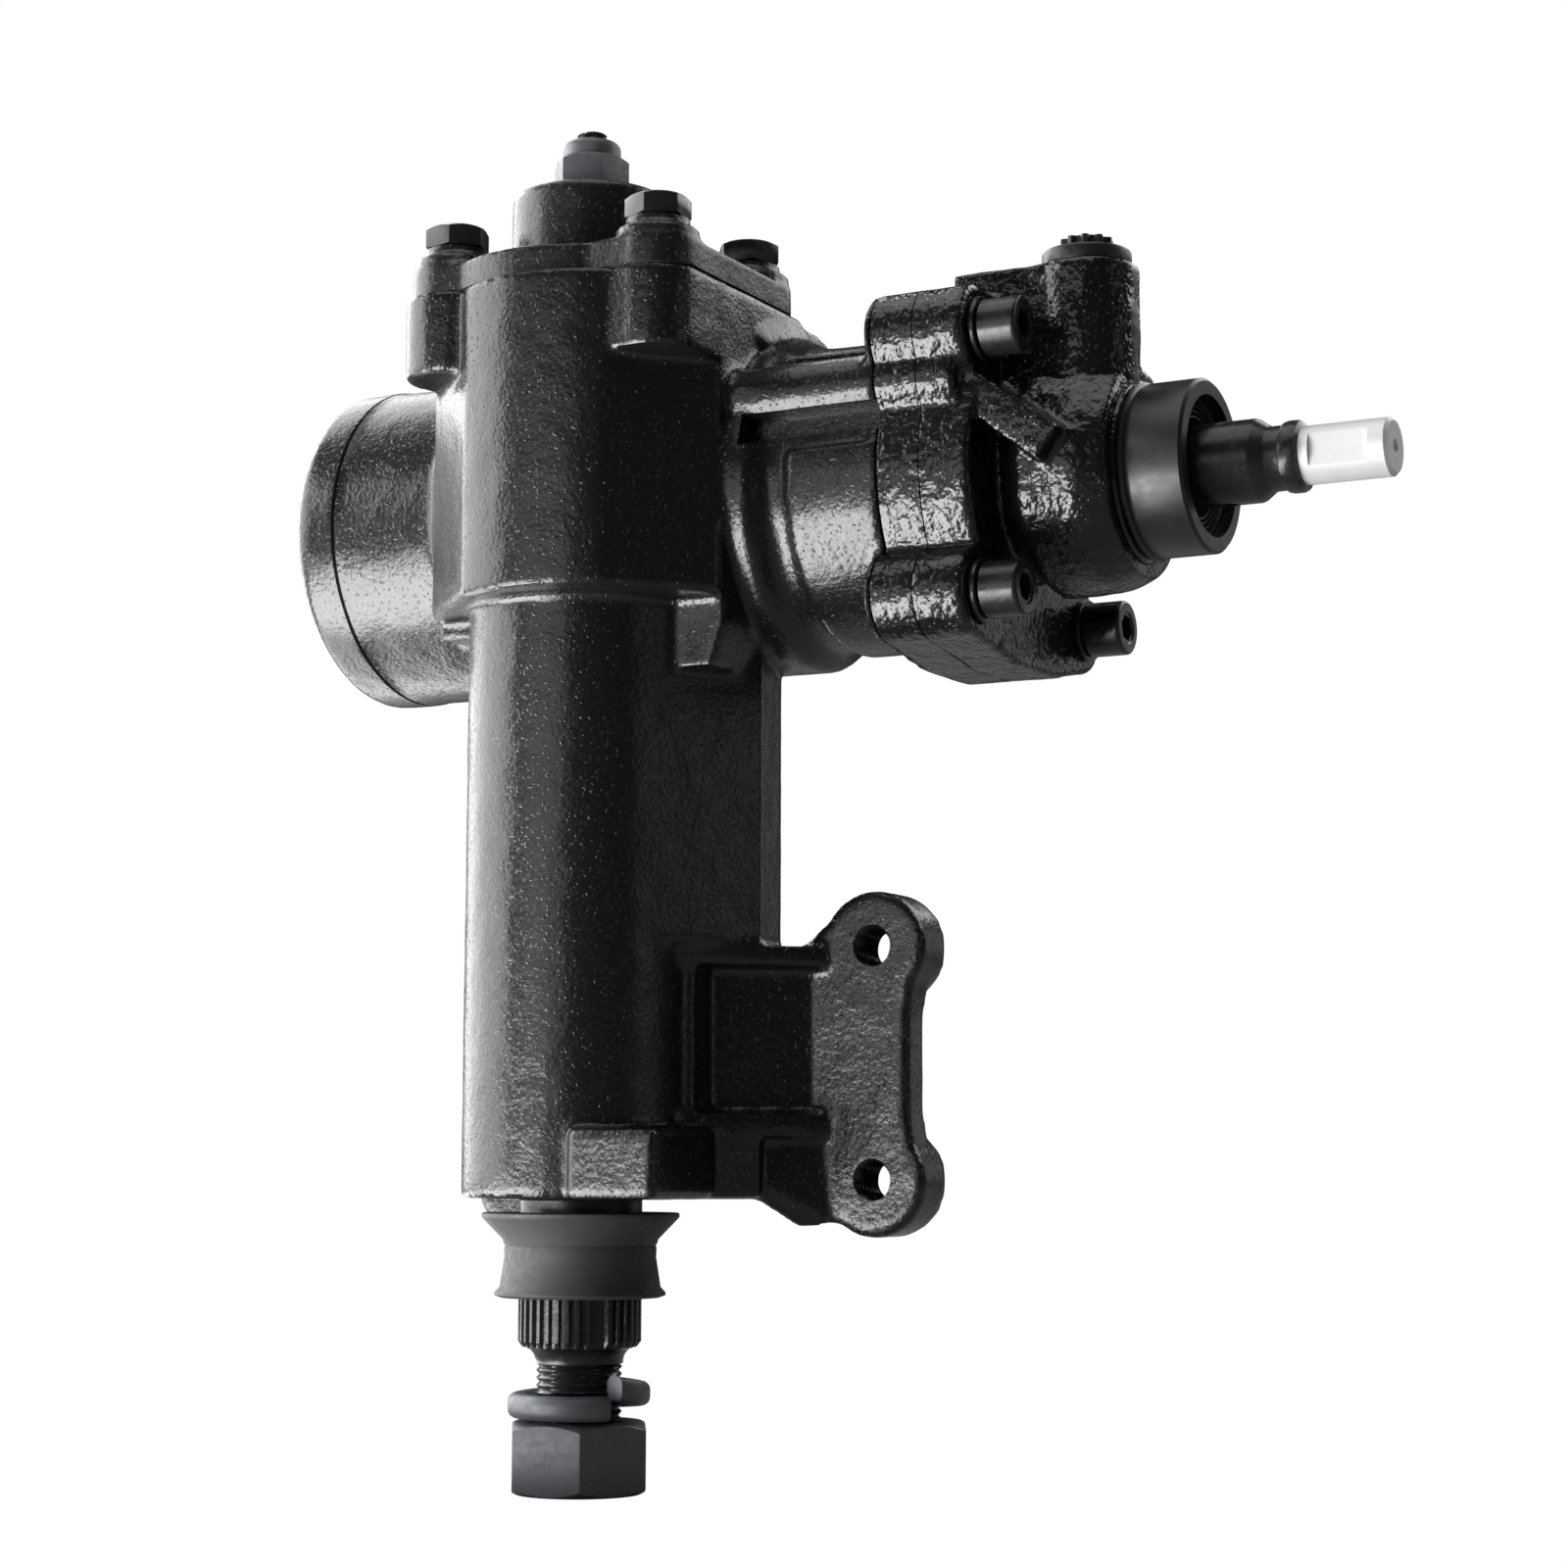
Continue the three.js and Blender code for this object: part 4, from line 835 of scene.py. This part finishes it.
def arm_splines():
    """Even splines but for one that is left out, so that the arm fits one way only."""
    missing = math.radians(-40)
    run_out = 1.4

    def radius_at(angle, place):
        turn = ((angle - missing) * SPLINE_COUNT / (2 * math.pi)) % SPLINE_COUNT
        if turn > SPLINE_COUNT - 0.5 or turn < 0.5:
            return SPLINE_ROOT_RADIUS
        near_end = min(1, (place - SPLINE_BOTTOM) / run_out)
        rise = max(0, min(1, 1.6 * math.cos(2 * math.pi * turn) + 0.5))
        return SPLINE_ROOT_RADIUS + (SPLINE_RADIUS - SPLINE_ROOT_RADIUS) * rise * near_end

    middle = SPLINE_BOTTOM + (SPLINE_TOP - SPLINE_BOTTOM) / 2
    places = [SPLINE_BOTTOM, SPLINE_BOTTOM + run_out, middle, SPLINE_TOP + 0.5]
    return shaped(radius_at, "z", ON_SECTOR, places, SPLINE_COUNT * 12)


def make_sector_shaft():
    """The arm's thread and splines, the journal, the sector gear, and the head for the adjuster."""
    core = [
        (11.3, -226),
        (11.3, -225.2),
        (11.7, SPLINE_BOTTOM - 2),
        (12.6, SPLINE_BOTTOM - 0.8),
        (SPLINE_ROOT_RADIUS - 0.6, SPLINE_BOTTOM),
        (SPLINE_ROOT_RADIUS, SPLINE_BOTTOM + 0.4),
        (SPLINE_ROOT_RADIUS, SPLINE_TOP - 0.4),
        (SPLINE_RADIUS, SPLINE_TOP + 0.6),
        (SPLINE_RADIUS, -184.5),
        (SHAFT_JOURNAL_RADIUS, -183),
        (SHAFT_JOURNAL_RADIUS, -31),
        (13.2, -31),
        (13.2, -GEAR_HALF_HEIGHT),
        (13, -GEAR_HALF_HEIGHT),
        (13, GEAR_HALF_HEIGHT),
        (12.7, GEAR_HALF_HEIGHT + 1),
        (12.7, 65),
    ]
    piece = solid("sector_shaft", turned(core, "z", ON_SECTOR))
    pitch = 360 / SECTOR_FULL_TEETH
    joined(
        piece,
        arm_splines(),
        threaded(
            SHAFT_THREAD_RADIUS, 0.95, SHAFT_THREAD_PITCH, "z", ON_SECTOR, SHAFT_BOTTOM, -225.5, 72
        ),
        *[sector_tooth(90 + number * pitch) for number in (-1, 0, 1)],
    )
    adjuster_head_slot = block(-6.8, 20, -6.8, 6.8, 57.5, 62.4)
    adjuster_neck_slot = block(-4.7, 20, -4.7, 4.7, 62, 66)
    cut(piece, adjuster_head_slot, adjuster_neck_slot)
    finished(piece, "sector", ["sector_shaft"], "shaft_enamel")


def make_boot():
    """The dust boot: a wide lip under the stem, a waist, and a rolled edge above the splines."""
    inner = SPLINE_RADIUS + GAP
    profile = [
        (inner, -187.6),
        (25.2, -187.6),
        (25.6, -187.9),
        (25.6, -188.7),
        (25.2, -189.2),
        (20.2, -194.4),
        (19.8, -195.6),
        (19.5, -196.0),
        (19.7, -196.6),
        (19.6, -199.0),
        (20.8, -206.6),
        (22.0, -207.9),
        (22.2, -208.4),
        (22.0, -208.8),
        (20.6, -209.3),
        (19.5, -208.6),
        (17.6, -208.4),
        (inner, -209.0),
        (inner, -187.6),
    ]
    piece = solid("dust_boot", turned(profile, "z", ON_SECTOR))
    finished(piece, "sector", ["dust_boot"], "boot_rubber", 50)


def make_lock_washer():
    """A split washer of one turn, whose first end springs up."""
    steps = 120
    half_width, corner_radius = 3.15, 2.2
    ring_radius, level, spring_back = 15.2, -236.8, 5
    reach = half_width - corner_radius
    section = []
    for corner, (right, up) in enumerate([(1, 1), (-1, 1), (-1, -1), (1, -1)]):
        centre = (right * reach, up * reach)
        section += arc(centre, corner_radius, corner * 90, corner * 90 + 90, 4)
    rings = []
    for step in range(steps + 1):
        t = step / steps
        angle = math.radians(-22 + 350 * t)
        outward = Vector((math.cos(angle), math.sin(angle), 0))
        centre = outward * ring_radius + Vector((0, 0, level + spring_back * (1 - t) ** 3))
        rings.append([centre + outward * x + Vector((0, 0, y)) for x, y in section])
    piece = solid("pitman_lock_washer", lofted(rings))
    finished(piece, "sector", ["pitman_lock_washer"], "phosphate", 40)


def make_pitman_nut():
    """The nut that holds the arm, with both its ends chamfered."""
    bottom, top = -259, -240.7
    across_flats, face = 34, -87.3
    flats = prism(hexagon(ON_SECTOR, across_flats, face), "z", bottom, top)
    piece = solid("pitman_nut", flats)
    crown = [
        (16.3, bottom),
        (20.2, bottom + 2.2),
        (20.2, top - 2.2),
        (16.3, top),
    ]
    common(piece, turned(crown, "z", ON_SECTOR))
    eased(piece, 0.5)
    radius, pitch = SHAFT_THREAD_RADIUS + GAP, SHAFT_THREAD_PITCH
    cut(piece, threaded(radius, 0.8, pitch, "z", ON_SECTOR, bottom - 2, top + 2, 48))
    finished(piece, "sector", ["pitman_nut"], "phosphate")


# ------------------------------------------------------------------------- valve end

FACING = 1.5  # metal left on a flange for its facing cut

def make_adapter():
    """The plate between the two flanges, cast a little too thick and then faced on both sides."""
    start = HOUSING_FACE_X + GAP
    rough_start, rough_end = start - FACING, ADAPTER_FACE_X + FACING
    shapes = [*flange_shapes(rough_start, rough_end), oil_passage(rough_start, rough_end)]
    piece = cast("adapter_plate", shapes, voxel=0.9, passes=6, ripple=0.2)
    cut(
        piece,
        flange_facing(start - 6, start),
        flange_facing(ADAPTER_FACE_X, ADAPTER_FACE_X + 6),
    )
    spigot_start = HOUSING_FACE_X - 4.9
    joined(piece, rod(BORE_RADIUS - GAP, "x", ON_WORM, spigot_start, start + 1))
    cut(
        piece,
        rod(ADAPTER_BORE_RADIUS, "x", ON_WORM, spigot_start - 1, ADAPTER_FACE_X + 1),
        *screw_holes(start - 2, ADAPTER_FACE_X + 2),
    )
    finished(piece, "gear_case", ["adapter_plate"], "valve_enamel")


def collar_profile():
    """The machined collar round the input shaft, with the bead and groove where it begins."""
    return [
        (21, 140),
        (23.3, 144),
        (23.6, 144.8),
        (23.2, 145.5),
        (22.1, 145.9),
        (22.7, 146.4),
        (22.9, 146.9),
        (22.6, 147.3),
        (21.8, 147.7),
        (COLLAR_RADIUS - 0.2, 148.3),
        (COLLAR_RADIUS, 148.8),
        (COLLAR_RADIUS, COLLAR_END_X - 0.8),
        (COLLAR_RADIUS - 0.8, COLLAR_END_X),
    ]


def port_facing(port):
    """What a facing cut takes off the top of a port."""
    x, y = port
    reach = 14
    return block(x - reach, x + reach, y - reach, y + reach, PORT_TOP, PORT_TOP + 5)


def make_valve_housing():
    start = ADAPTER_FACE_X + GAP
    barrel = [
        (25, start),
        (25, 116),
        (30.5, 122),
        (30, 137),
        (27, 144.5),
    ]
    crown = block(start, 133, 15, 56, 0, PORT_TOP)
    diagonal_bar = prism([(102, 31), (136, 6), (130, -2), (102, 20)], "y", -2, 22)
    shapes = [
        turned(barrel, "x", ON_WORM),
        *flange_shapes(start - FACING, VALVE_FLANGE_X),
        crown,
        *[rod(13.4, "z", port, 5, PORT_TOP + 0.6) for port in PORT_PLACES],
        diagonal_bar,
        oil_passage(start - FACING, 110),
    ]
    piece = cast("valve_housing", shapes, voxel=0.9, passes=9, ripple=0.7)
    cut(
        piece,
        flange_facing(start - 6, start),
        *[rod(9, "x", screw, VALVE_FLANGE_X, 146, FINE) for screw in FLANGE_SCREWS],
    )
    joined(piece, turned(collar_profile(), "x", ON_WORM))
    cut(
        piece,
        rod(VALVE_BORE_RADIUS, "x", ON_WORM, start - 2, 139.5),
        rod(COLLAR_BORE_RADIUS, "x", ON_WORM, 139, COLLAR_END_X + 2),
        *screw_holes(start - 2, 116),
        *[rod(7, "z", port, 38, PORT_TOP + 3, FINE) for port in PORT_PLACES],
        *[port_facing(port) for port in PORT_PLACES],
    )
    finished(piece, "gear_case", ["valve_housing"], "valve_enamel")
    refinished(piece, COLLAR_START_X, "collar_satin")


def refinished(piece, place, finish):
    """Gives a piece's faces beyond a place along the worm another finish."""
    piece.data.materials.append(MATERIALS[finish])
    limit = metres((place, 0, 0)).x
    for face in piece.data.polygons:
        if face.center.x > limit:
            face.material_index = 1


def make_cap_screw(number, centre):
    """A socket head cap screw through the three flanges."""
    name = f"valve_screw_{number}"
    start = VALVE_FLANGE_X + GAP + 1.8
    socket_across_flats = 6.4
    head = [
        (6.9, start),
        (7.25, start + 0.4),
        (7.25, start + 8.9),
        *arc((6.25, start + 9.4), 1, 0, 90, 5),
        (4.4, start + 10.4),
        (4.0, start + 10.0),
    ]
    piece = solid(name, turned(head, "x", centre, FINE))
    joined(piece, rod(SCREW_RADIUS, "x", centre, HOUSING_FACE_X - 2, start + 1, FINE))
    cut(piece, prism(hexagon(centre, socket_across_flats, 20), "x", start + 4, start + 12))
    finished(piece, "gear_case", [name], "black_fastener")


def make_screw_washer(number, centre):
    name = f"valve_washer_{number}"
    start = VALVE_FLANGE_X + GAP
    washer = solid(name, tube(SCREW_HOLE_RADIUS, 8.2, "x", centre, start, start + 1.5, FINE))
    eased(washer, 0.2)
    finished(washer, "gear_case", [name], "black_fastener")


def make_port_cap(name, port):
    """A plastic shipping plug with a ribbed grip."""
    lobes = 10
    base = PORT_TOP + GAP

    def radius_at(angle, place):
        wave = max(-1, min(1, 1.6 * math.cos(lobes * angle)))
        return 6.2 + 0.6 * wave

    grip = shaped(radius_at, "z", port, [base + 3.5, base + 7.2, base + 7.6], lobes * 16)
    flange = eased_rod(11.5, "z", port, base, base + 4.2, 0.8)
    piece = solid(name, flange)
    joined(piece, grip, rod(6.6, "z", port, 42, base + 1, FINE))
    finished(piece, "gear_case", [name], "cap_plastic")


def make_input_shaft():
    """The input shaft, with oil slots inside the valve and a bright tip that has one flat."""
    profile = [
        (INPUT_RADIUS, 107.5),
        (INPUT_RADIUS, 175.2),
        (10.3, 176.0),
        (8.5, 178.6),
        (8.2, 179.2),
        (8.2, 182.4),
        (8.8, 182.9),
        (9.1, 184.0),
        (9.1, 186.2),
        (8.8, 187.0),
        (7.4, 187.6),
        (7.4, 209.3),
        (6.5, 210.3),
    ]
    piece = solid("input_shaft", turned(profile, "x", ON_WORM))
    slots = []
    for number in range(6):
        angle = number * math.pi / 3
        centre = (WORM_Y + INPUT_RADIUS * math.cos(angle), INPUT_RADIUS * math.sin(angle))
        slots.append(rod(1.6, "x", centre, 112, 131, 24))
    torsion_bar_bore = rod(2.9, "x", ON_WORM, 105, 178.5, FINE)
    pin_hole = rod(1.8, "z", (168, WORM_Y), -20, 20, 32)
    flat = block(190, 205.3, WORM_Y - 9, WORM_Y - 6.2, -9, 9)
    centre_drilling = turned([(1.3, 206), (1.3, 209.2), (2.2, 210.6)], "x", ON_WORM, 32)
    cut(piece, *slots, torsion_bar_bore, pin_hole, flat, centre_drilling)
    finished(piece, "input", ["input_shaft"], "shaft_enamel")
    refinished(piece, INPUT_TIP_X, "bright_steel")


def make_input_seal():
    """A lip seal: three thin lips, one inside another, between its case and the shaft."""
    face = [(17.8, 149.9), (17.8, 159.3), (17.0, 159.6), (16.8, 159.0)]
    root, edge = 155.6, 158.6
    for radius in (15.9, 14.5, 13.1):
        face += [
            (radius + 0.5, root),
            (radius, edge),
            (radius - 0.35, edge),
            (radius - 0.5, root),
        ]
    face += [(11.3, 157.4), (11.3, 149.9), (17.8, 149.9)]
    piece = solid("input_seal", turned(face, "x", ON_WORM))
    nodes = ["input_seal", "input_seal_ring"]
    finished(piece, "gear_case", nodes, "seal_rubber")


def make_end_plug():
    """The plug of the cylinder's closed end, with a recess for turning it."""
    face = [
        (37.2, -78.3),
        (37.2, -83.4),
        (36.6, -84),
        (33.6, -84),
        (32.8, -83.2),
        (12.6, -83.2),
        (11.8, -84),
    ]
    piece = solid("end_plug", turned(face, "x", ON_WORM))
    cut(
        piece,
        tube(34.9, 39, "x", ON_WORM, -82.7, -79.9),
        block(-86, -81, WORM_Y - 6.5, WORM_Y + 6.5, -6.5, 6.5),
    )
    finished(piece, "gear_case", ["end_plug"], "black_fastener")


def make_snap_ring():
    """The split ring that holds the plug."""
    ring = solid("end_plug_snap_ring", tube(34.5, 39, "x", ON_WORM, -86.2, -84.6))
    cut(ring, block(-88, -84, WORM_Y - 8, WORM_Y + 8, -41, -30))
    eased(ring, 0.25)
    finished(ring, "gear_case", ["end_plug_snap_ring"], "bearing_steel")


make_housing()
make_cover()
make_gasket()
for index, place in enumerate(COVER_BOLTS):
    make_cover_bolt(index + 1, place)
make_adjuster_screw()
make_adjuster_lock_nut()
make_sector_shaft()
make_boot()
make_lock_washer()
make_pitman_nut()
make_adapter()
make_valve_housing()
for index, place in enumerate(FLANGE_SCREWS):
    make_cap_screw(index + 1, place)
    make_screw_washer(index + 1, place)
make_port_cap("pressure_port_cap", PORT_PLACES[0])
make_port_cap("return_port_cap", PORT_PLACES[1])
make_input_shaft()
make_input_seal()
make_end_plug()
make_snap_ring()

# CAD nodes that show as they are get a finish by the slot that the record gives them.
NODE_FINISHES = {
    "seal_rubber": ["sector_seal", "sector_seal_outer", "end_plug_o_ring"],
    "bearing_steel": [
        "upper_sector_bearing",
        "lower_sector_bearing",
        "sector_seal_washer",
        "worm_bearing",
        "inner_thrust_bearing",
        "outer_thrust_bearing",
        "input_bearing",
        "ball_circuit",
        "ball_return_guide",
        "worm",
        "valve_sleeve",
        "torsion_bar",
        "torsion_bar_pin",
    ],
    "bronze": ["cover_bush"],
    "rack_iron": ["rack_piston"],
    "ring_plastic": ["piston_ring", *[f"valve_sleeve_ring_{number}" for number in (1, 2, 3, 4)]],
}
for finish_name, node_names in NODE_FINISHES.items():
    for node_name in node_names:
        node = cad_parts[node_name]
        for slot_index in range(len(node.material_slots)):
            node.material_slots[slot_index].material = MATERIALS[finish_name]

# ------------------------------------------------------------------- camera and light


CAMERA_PLACE = (437.14, -708.21, -176.81)
CAMERA_TURN, CAMERA_PITCH, CAMERA_ROLL = math.radians(28.08), math.radians(6.95), math.radians(0.17)
CAMERA_LENS = 72.9
LAMP_TARGET = (30, 0, -60)
TABLE_LEVEL = -257
SURROUND_GLOW = 0.05  # how bright the room is to the paint, where the backdrop is 1


def make_camera():
    turn, pitch, roll = CAMERA_TURN, CAMERA_PITCH, CAMERA_ROLL
    right = Vector((math.cos(turn), math.sin(turn), 0))
    ahead = Vector((-math.sin(turn), math.cos(turn), 0))
    up = Vector((0, 0, 1))
    look = ahead * math.cos(pitch) + up * math.sin(pitch)
    above = up * math.cos(pitch) - ahead * math.sin(pitch)
    image_right = right * math.cos(roll) + above * math.sin(roll)
    image_up = above * math.cos(roll) - right * math.sin(roll)
    camera = bpy.data.objects.new("camera", bpy.data.cameras.new("camera"))
    bpy.context.scene.collection.objects.link(camera)
    camera.data.sensor_width = 36
    camera.data.lens = CAMERA_LENS
    camera.data.clip_end = 20
    axes = Matrix((image_right, image_up, -look)).transposed()
    camera.matrix_world = Matrix.Translation(metres(CAMERA_PLACE)) @ axes.to_4x4()
    bpy.context.scene.camera = camera


def add_lamp(name, place, direction, width, tall, radiance):
    """A white panel that shines along a direction.

    Its radiance is in watts per square metre and steradian.
    """
    data = bpy.data.lights.new(name, "AREA")
    data.shape = "RECTANGLE"
    data.size, data.size_y = width, tall
    data.energy = radiance * math.pi * width * tall
    lamp = bpy.data.objects.new(name, data)
    lamp.location = place
    lamp.rotation_mode = "QUATERNION"
    lamp.rotation_quaternion = direction.to_track_quat("-Z", "Y")
    lamp.visible_camera = False
    bpy.context.scene.collection.objects.link(lamp)


def aimed_lamp(name, bearing, height, distance, width, tall, radiance):
    """A panel aimed at the gear. Bearing is in degrees to the left of the camera's side."""
    centre = metres(LAMP_TARGET)
    towards = Vector((math.sin(CAMERA_TURN), -math.cos(CAMERA_TURN), 0))
    left = Vector((-math.cos(CAMERA_TURN), -math.sin(CAMERA_TURN), 0))
    angle, rise = math.radians(bearing), math.radians(height)
    flat = towards * math.cos(angle) + left * math.sin(angle)
    direction = flat * math.cos(rise) + Vector((0, 0, math.sin(rise)))
    add_lamp(name, centre + direction * distance, -direction, width, tall, radiance)


# Bearing, height, distance, width, height of the panel, and radiance.
AIMED_LAMPS = {
    "left_softbox": (112, 16, 1.3, 2.0, 1.1, 5.0),
    "left_high_card": (144, 42, 1.4, 1.0, 0.7, 3.4),
    "front_card": (38, 7, 1.5, 1.1, 0.5, 1.35),
    "right_card": (-66, 8, 1.4, 0.5, 0.5, 0.5),
    "back_right_card": (-124, 36, 1.4, 1.3, 0.7, 2.6),
    "low_right_card": (-124, 5, 1.4, 0.6, 0.5, 0.5),
    "overhead_card": (30, 80, 1.3, 1.4, 1.2, 1.6),
}
# Place on the table, width, depth and radiance: the white table's own glow in the paint.
TABLE_GLOWS = {
    "table_glow": ((-300, -520), 0.52, 0.85, 15),
    "left_table_glow": ((-420, 120), 0.4, 0.4, 5),
}


def make_lamps():
    for name, settings in AIMED_LAMPS.items():
        aimed_lamp(name, *settings)
    for name, (place, width, depth, radiance) in TABLE_GLOWS.items():
        add_lamp(name, metres((*place, TABLE_LEVEL)), Vector((0, 0, 1)), width, depth, radiance)


def background(tree, strength):
    """A white background of that strength."""
    shader = tree.nodes.new("ShaderNodeBackground")
    shader.inputs["Color"].default_value = (1, 1, 1, 1)
    shader.inputs["Strength"].default_value = strength
    return shader.outputs["Background"]


def split_by_view(tree, to_camera, to_others, output):
    """One shader for what the camera sees directly, and another for light and reflections."""
    path = tree.nodes.new("ShaderNodeLightPath")
    mix = tree.nodes.new("ShaderNodeMixShader")
    tree.links.new(path.outputs["Is Camera Ray"], mix.inputs["Fac"])
    tree.links.new(to_others, mix.inputs[1])
    tree.links.new(to_camera, mix.inputs[2])
    tree.links.new(mix.outputs["Shader"], output)


def make_world():
    """White behind the gear, and dim all round it for what its paint reflects."""
    world = bpy.data.worlds.new("studio")
    bpy.context.scene.world = world
    world.use_nodes = True
    tree = world.node_tree
    output = tree.nodes["World Output"].inputs["Surface"]
    split_by_view(tree, background(tree, 1.0), background(tree, SURROUND_GLOW), output)


def make_floor():
    """A pale disc that the camera sees as plain white."""
    mesh = bpy.data.meshes.new("floor")
    built = bmesh.new()
    bmesh.ops.create_circle(built, cap_ends=True, radius=4, segments=96)
    bmesh.ops.translate(built, verts=built.verts, vec=(0, 0, CAD_BOX[0].z - 0.5 * MM))
    built.to_mesh(mesh)
    built.free()
    floor = bpy.data.objects.new("floor", mesh)
    bpy.context.scene.collection.objects.link(floor)
    finish = Finish("pale_floor", (0.25, 0.25, 0.25), 0.9)
    white = finish.node("ShaderNodeEmission")
    output = finish.tree.nodes["Material Output"].inputs["Surface"]
    split_by_view(finish.tree, white.outputs["Emission"], finish.shader.outputs["BSDF"], output)
    mesh.materials.append(finish.material)


make_camera()
make_lamps()
make_world()
make_floor()
bpy.context.scene.view_settings.view_transform = "Standard"
